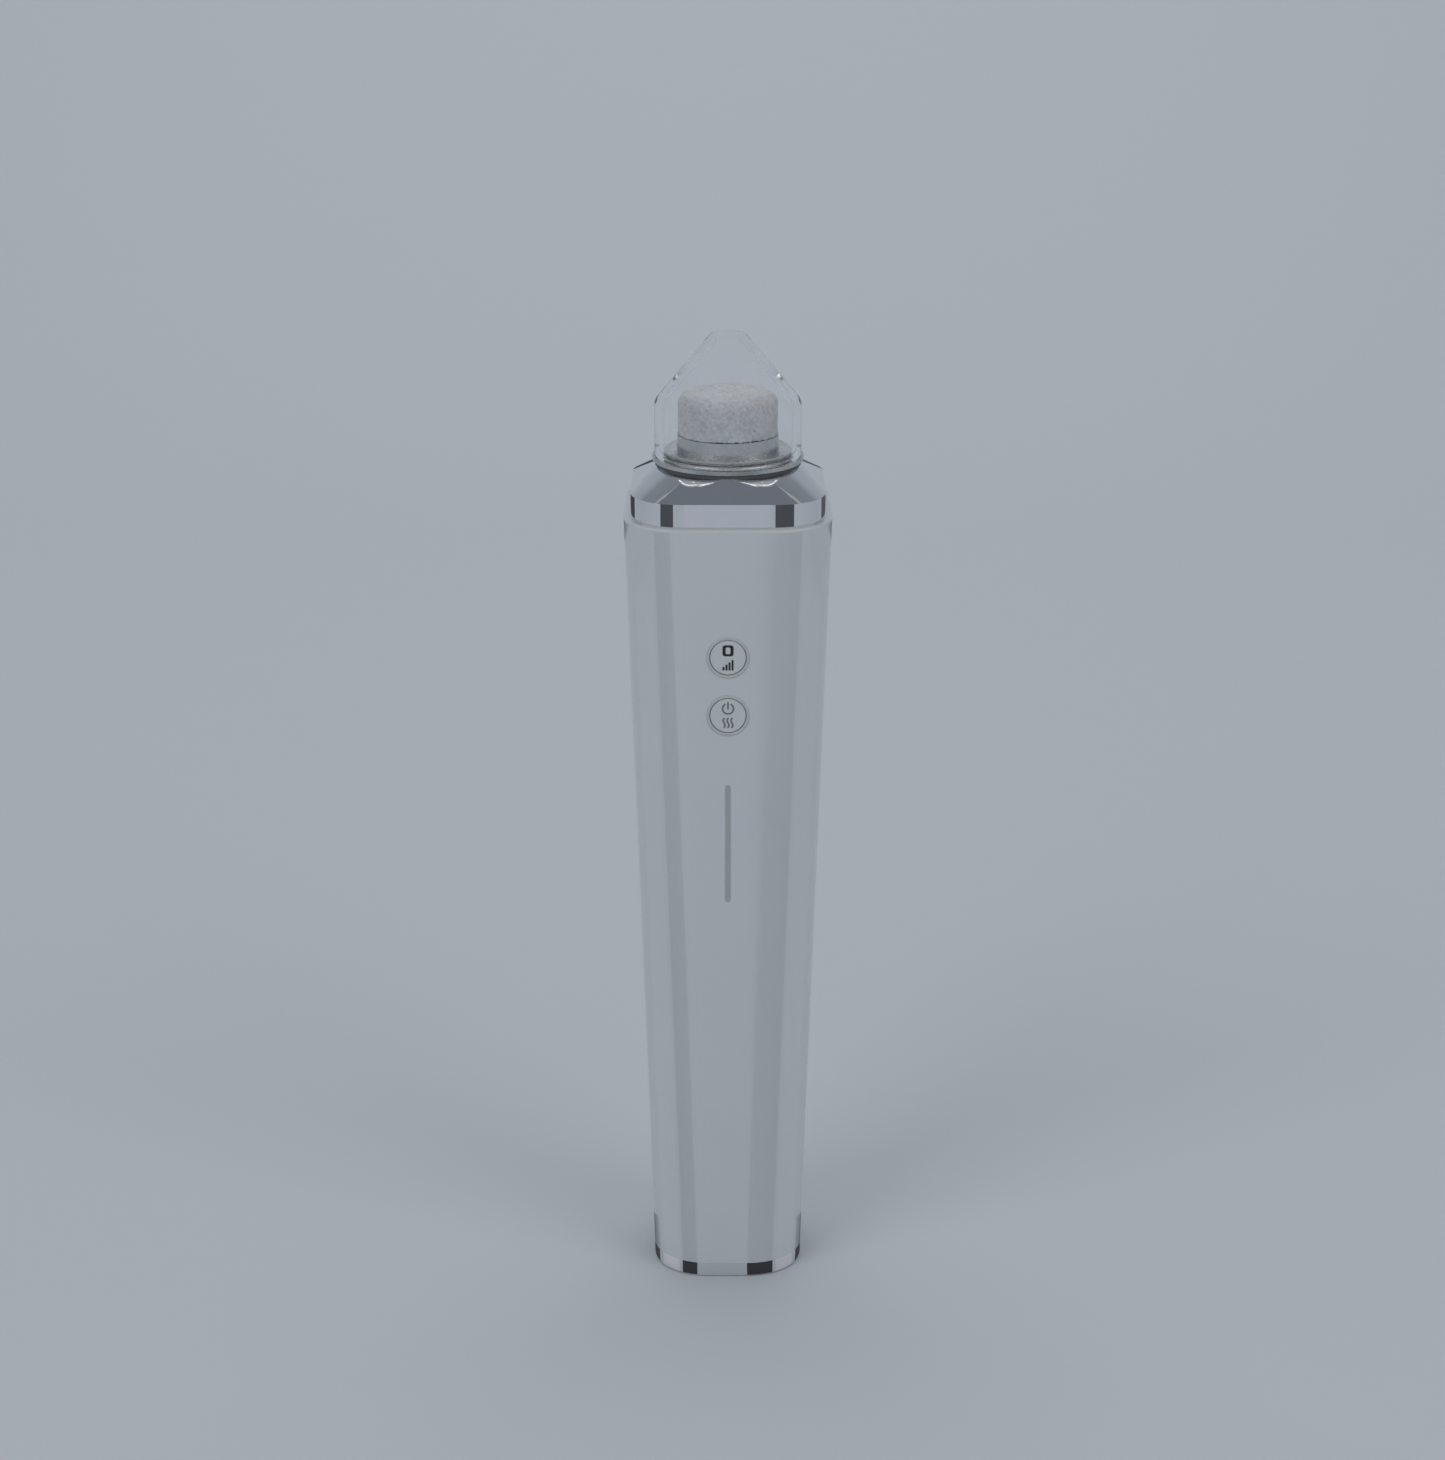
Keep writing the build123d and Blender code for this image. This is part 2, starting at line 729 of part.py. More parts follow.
# ---------------------------------------------------------------- pump
def tilted(shape):
    """Place a shape built about the nutation centre onto the crank pin's leaning axis."""
    return Pos(0, drive_y, nutation_z) * Rot(crank_tilt, 0, 0) * shape


def crank():
    """The round crank pressed on the shaft, with a leaning hole for its pin."""
    body = disc(crank_radius, crank_z, crank_z + crank_height, 0, drive_y)
    body -= motor_shaft()
    return body - crank_pin()


def crank_pin():
    """The leaning steel pin that the wobble plate rides on."""
    depth = nutation_z - crank_z - 1.9
    return tilted(disc(crank_pin_radius, -depth, -0.4))


def wobble_plate():
    """The three-armed plate that the leaning pin rocks without turning it."""
    half = wobble_thickness / 2
    plate = disc(wobble_hub_radius, -3.0, half)
    for i in range(3):
        arm = bar(0, wobble_arm_reach, -wobble_arm_width / 2, wobble_arm_width / 2, -half, half)
        arm += disc(wobble_arm_width / 2, -half, half, wobble_arm_reach, 0)
        plate += Rot(0, 0, 90 + 120 * i) * arm
    return tilted(plate - disc(crank_pin_radius + running, -4.0, -0.3))


def pump_angles():
    """The directions of the pump's three chambers."""
    return [math.radians(90 + 120 * i) for i in range(3)]


def boss_places():
    """Where the pump's long screws stand, between the chambers."""
    places = []
    for angle in pump_angles():
        between = angle + math.pi / 3
        x = pump_screw_circle * math.cos(between)
        places.append((x, drive_y + pump_screw_circle * math.sin(between)))
    return places


def crankcase():
    """The pump's lower housing, bolted on the motor."""
    case = disc(pump_radius, motor_top_z, diaphragm_z, 0, drive_y)
    case -= disc(pump_radius - pump_wall, motor_top_z + pump_floor, diaphragm_z + 1, 0, drive_y)
    case -= disc(bush_radius + boss_wall + slip, 0, total_height, 0, drive_y)
    for x, y in boss_places():
        case += disc(pump_boss_radius, motor_top_z + pump_floor, diaphragm_z, x, y)
        case -= disc(pump_screw_radius, motor_top_z + pump_floor, diaphragm_z + 1, x, y)
    return case


def diaphragm():
    """The rubber sheet with three cups, whose stems reach down to the wobble plate's arms."""
    sheet = disc(pump_radius, diaphragm_z, valve_z, 0, drive_y)
    tilt = math.radians(crank_tilt)
    for angle in pump_angles():
        x = wobble_arm_reach * math.cos(angle)
        y = wobble_arm_reach * math.sin(angle)
        arm_top = nutation_z + y * math.tan(tilt) + wobble_thickness / 2 / math.cos(tilt)
        sheet += disc(cup_radius, diaphragm_z - cup_depth, diaphragm_z, x, drive_y + y)
        stem_low = arm_top + math.tan(tilt) + 0.05
        sheet += disc(1.0, stem_low, diaphragm_z - cup_depth, x, drive_y + y)
        floor_z = diaphragm_z - cup_depth + cup_wall
        sheet -= disc(cup_radius - cup_wall, floor_z, valve_z + 1, x, drive_y + y)
    for x, y in boss_places():
        sheet -= disc(pump_screw_radius + slip / 2, 0, total_height, x, y)
    return sheet


def valve_plate():
    """The plate of inlet and outlet holes over the three chambers."""
    plate = disc(pump_radius, valve_z, cover_z, 0, drive_y)
    plate -= disc(pump_radius - 3.4, cover_z - membrane_thickness, cover_z + 1, 0, drive_y)
    for angle in pump_angles():
        for reach in (wobble_arm_reach - 1.3, wobble_arm_reach + 1.1):
            plate -= disc(0.6, 0, total_height, reach * math.cos(angle), drive_y + reach * math.sin(angle))
    for x, y in boss_places():
        plate -= disc(pump_screw_radius + slip / 2, 0, total_height, x, y)
    return plate


def valve_membrane():
    """The thin rubber flap sheet in the valve plate's recess."""
    return disc(pump_radius - 3.4 - slip, cover_z - membrane_thickness, cover_z, 0, drive_y)


def pump_cover():
    """The pump's top, with the intake barb and an outlet hole."""
    cover = disc(pump_radius, cover_z, cover_top_z, 0, drive_y)
    cover = fillet(cover.edges().filter_by(GeomType.CIRCLE).sort_by(Axis.Z)[-1], 0.8)
    cover -= disc(pump_radius - 3.6, cover_z - 1, cover_z + 2.4, 0, drive_y)
    cover += disc(barb_radius, cover_top_z - 0.5, cover_top_z + barb_length, 0, intake_y)
    for i in range(2):
        lip = Cone(barb_radius + barb_lip, barb_radius, lip_length, align=UPRIGHT)
        cover += Pos(0, intake_y, cover_top_z + barb_length - 2.4 - 2.4 * i) * lip
    cover -= disc(air_radius, cover_z, total_height, 0, intake_y)
    cover -= disc(air_radius, cover_z, total_height, 0, drive_y - intake_offset)
    for x, y in boss_places():
        cover -= disc(pump_screw_radius + slip / 2, 0, total_height, x, y)
    return cover


def pump_screws():
    """Three long screws that clamp the pump's layers together."""
    length = cover_top_z - motor_top_z - pump_floor - 3.0
    return [Pos(x, y, cover_top_z) * screw(length, pump_screw_radius) for x, y in boss_places()]


def intake_hose():
    """The silicone hose from the nozzle's barb down to the pump's intake barb."""
    start = cover_top_z + 0.3
    end = stem_bottom_z - 0.3
    points = [(0, intake_y, start), (0, intake_y, start + 11.0), (0, 0, end - 11.0), (0, 0, end)]
    first = Vector(points[1]) - Vector(points[0])
    second = Vector(points[2]) - Vector(points[1])
    turn = math.radians(first.get_angle(second))
    radius = 0.45 * min(first.length, second.length) / math.tan(turn / 2)
    path = FilletPolyline(*points, radius=radius)
    ring = Circle(hose_bore + hose_wall) - Circle(hose_bore)
    return sweep(Plane(origin=path @ 0, z_dir=path % 0) * ring, path)


# ---------------------------------------------------------------- battery and charging socket
def battery_cell():
    """The round lithium cell."""
    return disc(cell_radius, cell_bottom_z, cell_top_z, 0, drive_y)


def battery_tabs():
    """A nickel strip on each end of the cell, run out towards the board."""
    front = lead_y - wire_radius
    back = drive_y + 3.0
    low = bar(-tab_width, 0, front, back, cell_bottom_z - cell_pad, cell_bottom_z)
    high = bar(0, tab_width, front, back, cell_top_z, cell_top_z + cell_pad)
    return [low, high]


def charging_socket():
    """The drawn shell of the small oval charging socket."""
    shell = Pos(0, 0, socket_bottom_z) * pill(socket_width, socket_height, socket_depth)
    inner = pill(socket_width - 2 * socket_wall, socket_height - 2 * socket_wall, socket_depth - 0.6)
    return shell - Pos(0, 0, socket_bottom_z) * inner


def socket_tongue():
    """The contact tongue inside the socket."""
    top = socket_bottom_z + socket_depth - 0.6
    half = tongue_width / 2
    thick = tongue_thickness / 2
    return bar(-half, half, -thick, thick, top - tongue_length, top)


def charging_board():
    """The small upright board behind the socket."""
    front = socket_height / 2
    return bar(-7.0, 7.0, front, front + 1.0, cap_floor_z + 0.6, chassis_bottom_z - 0.6)


def board_back_y(z):
    """Where a level wire meets the back of the board at a height."""
    return -half_width(z) + board_back + 0.15


def battery_leads():
    """Two wires, one from each of the cell's tabs, up to the board."""
    y = lead_y
    bend = board_bottom_z + upper_solder_rise
    wires = []
    for x, start in ((-tab_width / 2, cell_bottom_z), (tab_width / 2, cell_top_z + cell_pad)):
        wires.append(wire_along([(x, y, start), (x, y, bend), (x, board_back_y(bend), bend)]))
    return wires


def charging_leads():
    """Two wires from the charging board up the front channel."""
    y = lead_y - 2 * wire_radius - lead_gap
    bend = board_bottom_z + lower_solder_rise
    front = socket_height / 2 - wire_radius
    start = chassis_bottom_z - 3.6
    wires = []
    for side in (-1, 1):
        x = side * tab_width / 2
        points = [(x, front, start), (x, y, start + 1.6), (x, y, bend), (x, board_back_y(bend), bend)]
        wires.append(wire_along(points))
    return wires


def motor_leads():
    """Two wires from the motor's terminals, down through the seat rib and forward to the board."""
    wires = []
    start = terminal_bottom_z
    level = start - lead_drop
    for side in (-1, 1):
        x = side * terminal_x
        y = drive_y - terminal_offset
        wires.append(wire_along([(x, y, start), (x, y, level), (x, board_back_y(level), level)]))
    return wires


# ---------------------------------------------------------------- chassis
def rib_plan():
    """Each cross rib of the chassis: lower face, thickness and the bore through it."""
    foam = motor_radius + motor_foam_thickness
    return [
        (chassis_bottom_z, rib, 0.0),
        (cell_top_z + cell_pad + 0.2, rib, 2.6),
        (seat_rib_z, thick_rib, bush_radius + boss_wall + lead_gap),
        (motor_bottom_z + 6.0, rib, foam),
        (motor_bottom_z + 20.0, rib, foam),
        (pump_rib_z, rib, pump_radius + slip / 2),
        (upper_rib_z, thick_rib, 8.5),
        (chassis_top_z - rib, rib, 5.0),
    ]


def ribs():
    """All cross ribs, whole, before the chassis is split into its halves."""
    made = []
    for z, thick, bore in rib_plan():
        one = core(z, z + thick)
        if bore:
            one -= disc(bore, z - 1, z + thick + 1, 0, drive_y)
        made.append(one)
    return made


def chassis_body():
    """The thin wall and its ribs, as one closed tray before it is split."""
    body = core(chassis_bottom_z, chassis_top_z)
    body -= core(chassis_bottom_z - 1, chassis_top_z + 1, chassis_wall)
    for one in ribs():
        body += one
    return body


def chassis_screw_places():
    """The heights of the screws that join the two halves."""
    return [seat_rib_z + thick_rib / 2, upper_rib_z + thick_rib / 2]


def chassis_rear():
    """The rear half: tray, ribs, screw bosses and the two posts for the end cap's screws."""
    far = shoulder_width
    part = chassis_body() & bar(-far, far, drive_y, far, 0, total_height)
    for z in chassis_screw_places():
        for side in (-1, 1):
            place = Pos(side * chassis_screw_x, drive_y, z) * Rot(-90, 0, 0)
            part += place * disc(screw_boss_radius, 0, 7.0)
            part -= place * disc(screw_radius, -1, 6.0)
    for side in (-1, 1):
        x = side * cap_screw_x
        part += disc(screw_boss_radius, cap_floor_z, chassis_bottom_z + 0.5, x, cap_screw_y)
        part -= disc(screw_radius, 0, chassis_bottom_z - 2.0, x, cap_screw_y)
        back = socket_height / 2 + 1.0
        x = side * 5.0
        part += bar(x - 1.5, x + 1.5, back, back + 3.0, cap_floor_z + 4.0, chassis_bottom_z + 0.5)
    return part


def chassis_front():
    """The front half, open behind the board, with the board's bosses and a channel for the wires."""
    far = shoulder_width
    reach = bar(-far, far, -far, drive_y, 0, total_height)
    part = chassis_body() & reach & behind_board(chassis_bottom_z - 2, chassis_top_z + 2)
    back = drive_y - cell_radius + 0.6
    channel = bar(-2.4, 2.4, -far, back, chassis_bottom_z - 1, seat_rib_z + thick_rib + 1)
    part -= channel
    for side in (-1, 1):
        x = side * terminal_x
        back = drive_y - terminal_offset + wire_radius + lead_gap
        half = wire_radius + lead_gap
        part -= bar(x - half, x + half, -far, back, seat_rib_z - 1, seat_rib_z + thick_rib + 1)
    for x, y in board_holes():
        boss = Pos(x, y, -board_back - 5.0) * disc(screw_boss_radius, 0, 5.0)
        pilot = Pos(x, y, -board_back - 4.0) * disc(screw_radius, 0, 6.0)
        part += on_face(board_middle_z) * boss
        part -= on_face(board_middle_z) * pilot
    for z in chassis_screw_places():
        for side in (-1, 1):
            place = Pos(side * chassis_screw_x, drive_y, z) * Rot(90, 0, 0)
            part += place * disc(screw_boss_radius, 0, 5.0)
            part -= place * disc(screw_radius + slip / 2, -1, 9.0)
            part -= place * disc(screw_head_radius + slip, 5.0, 9.0)
    return part


def chassis_screws():
    """Four screws that clamp the halves of the chassis round the motor, pump and cell."""
    made = []
    for z in chassis_screw_places():
        for side in (-1, 1):
            made.append(Pos(side * chassis_screw_x, drive_y - 5.0, z) * Rot(90, 0, 0) * screw(10.0))
    return made


# ---------------------------------------------------------------- write
def write(name, shape):
    """Write one node; a list becomes a group of separate solids."""
    solids = shape if isinstance(shape, (list, tuple)) else [shape]
    body = Compound(children=[s for part in solids for s in part.solids()])
    export_step(body, f"parts/{name}.step")


def main():
    """Build every node."""
    os.makedirs("parts", exist_ok=True)
    nodes = {
        "body_sleeve": body_sleeve,
        "base_ring": base_ring,
        "end_cap": end_cap,
        "end_cap_screws": end_cap_screws,
        "top_collar": top_collar,
        "nozzle_gasket": nozzle_gasket,
        "nozzle_base": nozzle_base,
        "nozzle_nut": nozzle_nut,
        "probe_seal": probe_seal,
        "suction_probe": suction_probe,
        "filter_grid": filter_grid,
        "filter_foam": filter_foam,
        "upper_button_bezel": lambda: button_bezel(upper_button_z),
        "upper_button_cap": lambda: button_cap(upper_button_z),
        "upper_switch": lambda: tact_switch(upper_button_z),
        "upper_switch_plunger": lambda: switch_plunger(upper_button_z),
        "lower_button_bezel": lambda: button_bezel(lower_button_z),
        "lower_button_cap": lambda: button_cap(lower_button_z),
        "lower_switch": lambda: tact_switch(lower_button_z),
        "lower_switch_plunger": lambda: switch_plunger(lower_button_z),
        "light_guide": light_guide,
        "status_leds": status_leds,
        "main_board": main_board,
        "board_parts": board_parts,
        "board_screws": board_screws,
        "motor_can": motor_can,
        "motor_end_bell": motor_end_bell,
        "motor_terminals": motor_terminals,
        "motor_brushes": motor_brushes,
        "motor_bushes": motor_bushes,
        "motor_magnets": motor_magnets,
        "motor_shaft": motor_shaft,
        "armature_core": armature_core,
        "armature_windings": armature_windings,
        "commutator": commutator,
        "motor_foam": motor_foam,
        "crank": crank,
        "crank_pin": crank_pin,
        "wobble_plate": wobble_plate,
        "crankcase": crankcase,
        "diaphragm": diaphragm,
        "valve_plate": valve_plate,
        "valve_membrane": valve_membrane,
        "pump_cover": pump_cover,
        "pump_screws": pump_screws,
        "intake_hose": intake_hose,
        "battery_cell": battery_cell,
        "battery_tabs": battery_tabs,
        "charging_socket": charging_socket,
        "socket_tongue": socket_tongue,
        "charging_board": charging_board,
        "battery_leads": battery_leads,
        "charging_leads": charging_leads,
        "motor_leads": motor_leads,
        "chassis_rear": chassis_rear,
        "chassis_front": chassis_front,
        "chassis_screws": chassis_screws,
    }
    for name, make in nodes.items():
        write(name, make())


main()
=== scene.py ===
"""Looks for a cordless pore vacuum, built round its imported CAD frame.

The handle stands on its foot ring with the clear suction probe on top. The front face, with the two buttons
and the light bar, looks along -Y. All sizes are in metres.
"""

from __future__ import annotations

import json
import logging
import math
from dataclasses import dataclass, field
from enum import Enum
from typing import Callable, Sequence

import bmesh
import bpy
from mathutils import Matrix, Vector, noise

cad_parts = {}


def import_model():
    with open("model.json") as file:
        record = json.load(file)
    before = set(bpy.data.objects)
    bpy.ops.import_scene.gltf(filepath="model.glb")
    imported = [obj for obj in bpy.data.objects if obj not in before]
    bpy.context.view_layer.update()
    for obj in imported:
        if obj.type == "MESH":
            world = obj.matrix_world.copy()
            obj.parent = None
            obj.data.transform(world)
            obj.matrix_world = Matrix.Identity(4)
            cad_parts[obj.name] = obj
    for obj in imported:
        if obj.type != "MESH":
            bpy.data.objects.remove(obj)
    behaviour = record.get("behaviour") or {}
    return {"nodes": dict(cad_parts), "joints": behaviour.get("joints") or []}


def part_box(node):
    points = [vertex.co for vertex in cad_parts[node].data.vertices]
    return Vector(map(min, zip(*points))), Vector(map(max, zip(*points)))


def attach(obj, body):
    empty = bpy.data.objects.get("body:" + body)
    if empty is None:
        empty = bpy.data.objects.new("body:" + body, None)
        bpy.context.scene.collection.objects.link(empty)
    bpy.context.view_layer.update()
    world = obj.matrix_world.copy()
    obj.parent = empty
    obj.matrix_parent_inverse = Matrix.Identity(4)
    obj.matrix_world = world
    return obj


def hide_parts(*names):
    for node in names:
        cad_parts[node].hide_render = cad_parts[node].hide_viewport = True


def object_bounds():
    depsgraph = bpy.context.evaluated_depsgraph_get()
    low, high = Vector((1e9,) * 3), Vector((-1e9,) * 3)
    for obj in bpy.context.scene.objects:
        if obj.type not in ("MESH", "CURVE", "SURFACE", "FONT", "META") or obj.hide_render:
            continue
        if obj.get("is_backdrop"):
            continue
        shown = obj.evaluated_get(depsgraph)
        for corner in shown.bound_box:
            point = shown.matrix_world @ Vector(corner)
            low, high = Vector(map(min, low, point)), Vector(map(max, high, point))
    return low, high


LOG = logging.getLogger("pore_vacuum")
MM = 0.001

Colour = tuple[float, float, float]
Point3 = tuple[float, float, float]
Point2 = tuple[float, float]
Stop = tuple[float, Colour]
Mesh = bmesh.types.BMesh
Socket = bpy.types.NodeSocket


# ------------------------------------------------------------------ finishes
class Grain(Enum):
    """How the fine detail of a surface lies."""

    POLISHED = "polished"
    MOULDED = "moulded"
    SPARKED = "sparked"
    TURNED = "turned"
    BRUSHED = "brushed"
    OPEN_CELL = "open cell"
    WOUND = "wound"
    TRACED = "traced"


class Shader:
    """A material being made: its Principled surface and the nodes that feed it."""

    def __init__(self, name: str) -> None:
        """Start a material with a plain Principled surface.

        Args:
            name: The material's name.
        """
        self.material = bpy.data.materials.new(name)
        self.material.use_nodes = True
        self.tree = self.material.node_tree
        self.surface = next(n for n in self.tree.nodes if n.type == "BSDF_PRINCIPLED")
        self.place = self.add("ShaderNodeTexCoord").outputs["Object"]

    def add(self, kind: str, **inputs: object) -> bpy.types.Node:
        """Add a node and set some of its inputs.

        Args:
            kind: Blender's node type.
            inputs: Values by input name, with spaces written as underscores.

        Returns:
            The new node.
        """
        node = self.tree.nodes.new(kind)
        for name, value in inputs.items():
            node.inputs[name.replace("_", " ")].default_value = value
        return node

    def join(self, source: Socket, target: Socket) -> None:
        """Link an output to an input."""
        self.tree.links.new(source, target)

    def set_inputs(self, values: dict[str, object]) -> None:
        """Set the surface's own inputs by name."""
        for name, value in values.items():
            self.surface.inputs[name].default_value = value

    def stretched(self, stretch: Point3) -> Socket:
        """Scale the object's own coordinates.

        Args:
            stretch: The factor along X, Y and Z.

        Returns:
            The scaled coordinates.
        """
        mapping = self.add("ShaderNodeMapping", Scale=stretch)
        self.join(self.place, mapping.inputs["Vector"])
        return mapping.outputs["Vector"]

    def noise(self, size: float, detail: float = 3.0, stretch: Point3 = (1, 1, 1)) -> Socket:
        """Soft noise.

        Args:
            size: The size of one lump.
            detail: How many finer layers it has.
            stretch: How much finer it is along X, Y and Z.

        Returns:
            A value from 0 to 1.
        """
        made = self.add("ShaderNodeTexNoise", Scale=1.0 / size, Detail=detail)
        self.join(self.stretched(stretch), made.inputs["Vector"])
        return made.outputs["Fac"]

    def cells(self, size: float, feature: str = "F1") -> Socket:
        """The distance to the nearest of scattered points.

        Args:
            size: The usual distance between two points.
            feature: Blender's name for the distance wanted.

        Returns:
            The distance, about 0 to 1.
        """
        made = self.add("ShaderNodeTexVoronoi", Scale=1.0 / size)
        made.feature = feature
        self.join(self.place, made.inputs["Vector"])
        return made.outputs["Distance"]

    def bands(self, size: float, kind: str, direction: str, wander: float) -> Socket:
        """Regular bands or rings.

        Args:
            size: The width of one band.
            kind: BANDS or RINGS.
            direction: The axis that the bands cross or the rings go round.
            wander: How much they waver.

        Returns:
            A value from 0 to 1.
        """
        made = self.add("ShaderNodeTexWave", Scale=1.0 / size / math.tau, Distortion=wander, Detail=1.0)
        made.wave_type = kind
        if kind == "BANDS":
            made.bands_direction = direction
        else:
            made.rings_direction = direction
        self.join(self.place, made.inputs["Vector"])
        return made.outputs["Fac"]

    def spread(self, source: Socket, low: float, high: float) -> Socket:
        """Map a value's middle range onto another range.

        Args:
            source: A value from 0 to 1.
            low: The result where it is low.
            high: The result where it is high.

        Returns:
            The mapped value.
        """
        made = self.add("ShaderNodeMapRange", From_Min=0.3, From_Max=0.7, To_Min=low, To_Max=high)
        self.join(source, made.inputs["Value"])
        return made.outputs["Result"]

    def ramp(self, source: Socket, stops: Sequence[Stop]) -> Socket:
        """Turn a value into a colour.

        Args:
            source: A value from 0 to 1.
            stops: Places and their colours, in order.

        Returns:
            The colour.
        """
        made = self.add("ShaderNodeValToRGB")
        marks = made.color_ramp.elements
        while len(marks) < len(stops):
            marks.new(0.5)
        for mark, (place, colour) in zip(marks, stops):
            mark.position = place
            mark.color = (*colour, 1.0)
        self.join(source, made.inputs["Fac"])
        return made.outputs["Color"]

    def relief(self, height: Socket, depth: float, strength: float = 0.7) -> None:
        """Raise the surface by a height, on top of any relief it has.

        Args:
            height: A value from 0 to 1.
            depth: The full height.
            strength: How strongly it shows.
        """
        bump = self.add("ShaderNodeBump", Strength=strength, Distance=depth)
        self.join(height, bump.inputs["Height"])
        before = self.surface.inputs["Normal"].links
        if before:
            self.join(before[0].from_socket, bump.inputs["Normal"])
        self.join(bump.outputs["Normal"], self.surface.inputs["Normal"])


@dataclass(frozen=True)
class Finish:
    """One finish: its colours, its gloss and the grain of its surface.

    Attributes:
        name: The material's name.
        colour: The main colour, linear.
        second: The colour that it drifts towards.
        grain: How its fine detail lies.
        grain_size: The size of one grain.
        grain_depth: How deep the grain is.
        rough: The mean roughness.
        rough_spread: How far the roughness drifts each way.
        drift: The size of a patch of colour or gloss.
        gloss: Values for the Principled surface's own inputs.
    """

    name: str
    colour: Colour
    second: Colour
    grain: Grain
    grain_size: float = 0.4 * MM
    grain_depth: float = 0.01 * MM
    rough: float = 0.4
    rough_spread: float = 0.05
    drift: float = 9 * MM
    gloss: dict[str, float] = field(default_factory=dict)

    def height(self, shader: Shader) -> Socket:
        """Make the grain.

        Args:
            shader: The material being made.

        Returns:
            The grain's height, from 0 to 1.
        """
        size = self.grain_size
        makers: dict[Grain, Callable[[], Socket]] = {
            Grain.POLISHED: lambda: shader.noise(size, 2.0),
            Grain.MOULDED: lambda: shader.noise(size, 1.0),
            Grain.SPARKED: lambda: shader.cells(size),
            Grain.TURNED: lambda: shader.bands(size, "RINGS", "Z", 0.6),
            Grain.BRUSHED: lambda: shader.noise(size, 4.0, (1.0, 1.0, 0.03)),
            Grain.OPEN_CELL: lambda: shader.cells(size, "SMOOTH_F1"),
            Grain.WOUND: lambda: shader.bands(size, "BANDS", "Z", 0.3),
            Grain.TRACED: lambda: shader.bands(size, "BANDS", "X", 5.0),
        }
        return makers[self.grain]()

    def build(self) -> bpy.types.Material:
        """Make the material.

        Returns:
            The material, with every node in place.
        """
        shader = Shader(self.name)
        surface = shader.surface
        patches = shader.noise(self.drift, 4.0)
        colour = shader.ramp(patches, [(0.3, self.colour), (0.7, self.second)])
        shader.join(colour, surface.inputs["Base Color"])
        low, high = self.rough - self.rough_spread, self.rough + self.rough_spread
        smears = shader.noise(self.drift * 0.45, 5.0, (1.0, 1.0, 0.5))
        shader.join(shader.spread(smears, low, high), surface.inputs["Roughness"])
        shader.set_inputs(self.gloss)
        shader.relief(self.height(shader), self.grain_depth)
        self.extra(shader)
        return shader.material

    def extra(self, shader: Shader) -> None:
        """Add what only this finish has. The plain finish has nothing more."""


@dataclass(frozen=True)
class TurnedMetal(Finish):
    """Metal faced on a lathe: fine rings, and highlights that fan out from the axis.

    Attributes:
        pit_size: The size of the fine pits between the rings.
        pit_depth: How deep they are.
    """

    pit_size: float = 0.15 * MM
    pit_depth: float = 0.002 * MM

    def extra(self, shader: Shader) -> None:
        """Lay the highlights across the tool marks and break up the rings.

        Args:
            shader: The material being made.
        """
        tangent = shader.add("ShaderNodeTangent")
        tangent.direction_type = "RADIAL"
        tangent.axis = "Z"
        shader.join(tangent.outputs["Tangent"], shader.surface.inputs["Tangent"])
        shader.relief(shader.noise(self.pit_size, 3.0), self.pit_depth)


@dataclass(frozen=True)
class PearlPlastic(Finish):
    """Glossy moulded plastic with the soft flow of a long moulding.

    Attributes:
        wave_size: The size of one slow wave.
        wave_depth: How deep it is.
    """

    wave_size: float = 7 * MM
    wave_depth: float = 0.006 * MM

    def extra(self, shader: Shader) -> None:
        """Add the slow waviness of a large glossy moulding."""
        waves = shader.noise(self.wave_size, 1.0, (1.0, 1.0, 0.4))
        shader.relief(waves, self.wave_depth, 0.35)


@dataclass(frozen=True)
class Sponge(Finish):
    """Open-cell foam: pores of several sizes, with shade painted darker into their deep middles.

    Attributes:
        cloudiness: How much of its colour comes from clouds, the rest from the pores with their painted
            shade.
    """

    cloudiness: float = 0.45

    def extra(self, shader: Shader) -> None:
        """Paint shade into the pores and add a finer set between them.

        Args:
            shader: The material being made.
        """
        pores = shader.cells(self.grain_size * 1.3)
        # Painted shade: each pore's deep middle is coloured darker than the foam's second colour.
        painted_pore_shade = tuple(0.8 * c for c in self.second)
        fine = shader.ramp(pores, [(0.05, painted_pore_shade), (0.35, self.second), (0.7, self.colour)])
        clouds = shader.ramp(shader.noise(self.drift, 2.0), [(0.38, self.second), (0.62, self.colour)])
        mix = shader.add("ShaderNodeMix")
        mix.data_type = "RGBA"
        mix.inputs["Factor"].default_value = self.cloudiness
        colours = [socket for socket in mix.inputs if socket.type == "RGBA"]
        shader.join(fine, colours[0])
        shader.join(clouds, colours[1])
        mixed = next(socket for socket in mix.outputs if socket.type == "RGBA")
        shader.join(mixed, shader.surface.inputs["Base Color"])
        shader.relief(shader.cells(self.grain_size * 0.45), self.grain_depth * 0.5)


@dataclass(frozen=True)
class BoardLaminate(Finish):
    """Circuit board: solder mask over copper tracks."""

    def extra(self, shader: Shader) -> None:
        """Show the tracks as slightly lighter lines under the mask.

        Args:
            shader: The material being made.
        """
        tracks = shader.bands(self.grain_size, "BANDS", "X", 6.0)
        colour = shader.ramp(tracks, [(0.35, self.colour), (0.6, self.second)])
        shader.join(colour, shader.surface.inputs["Base Color"])


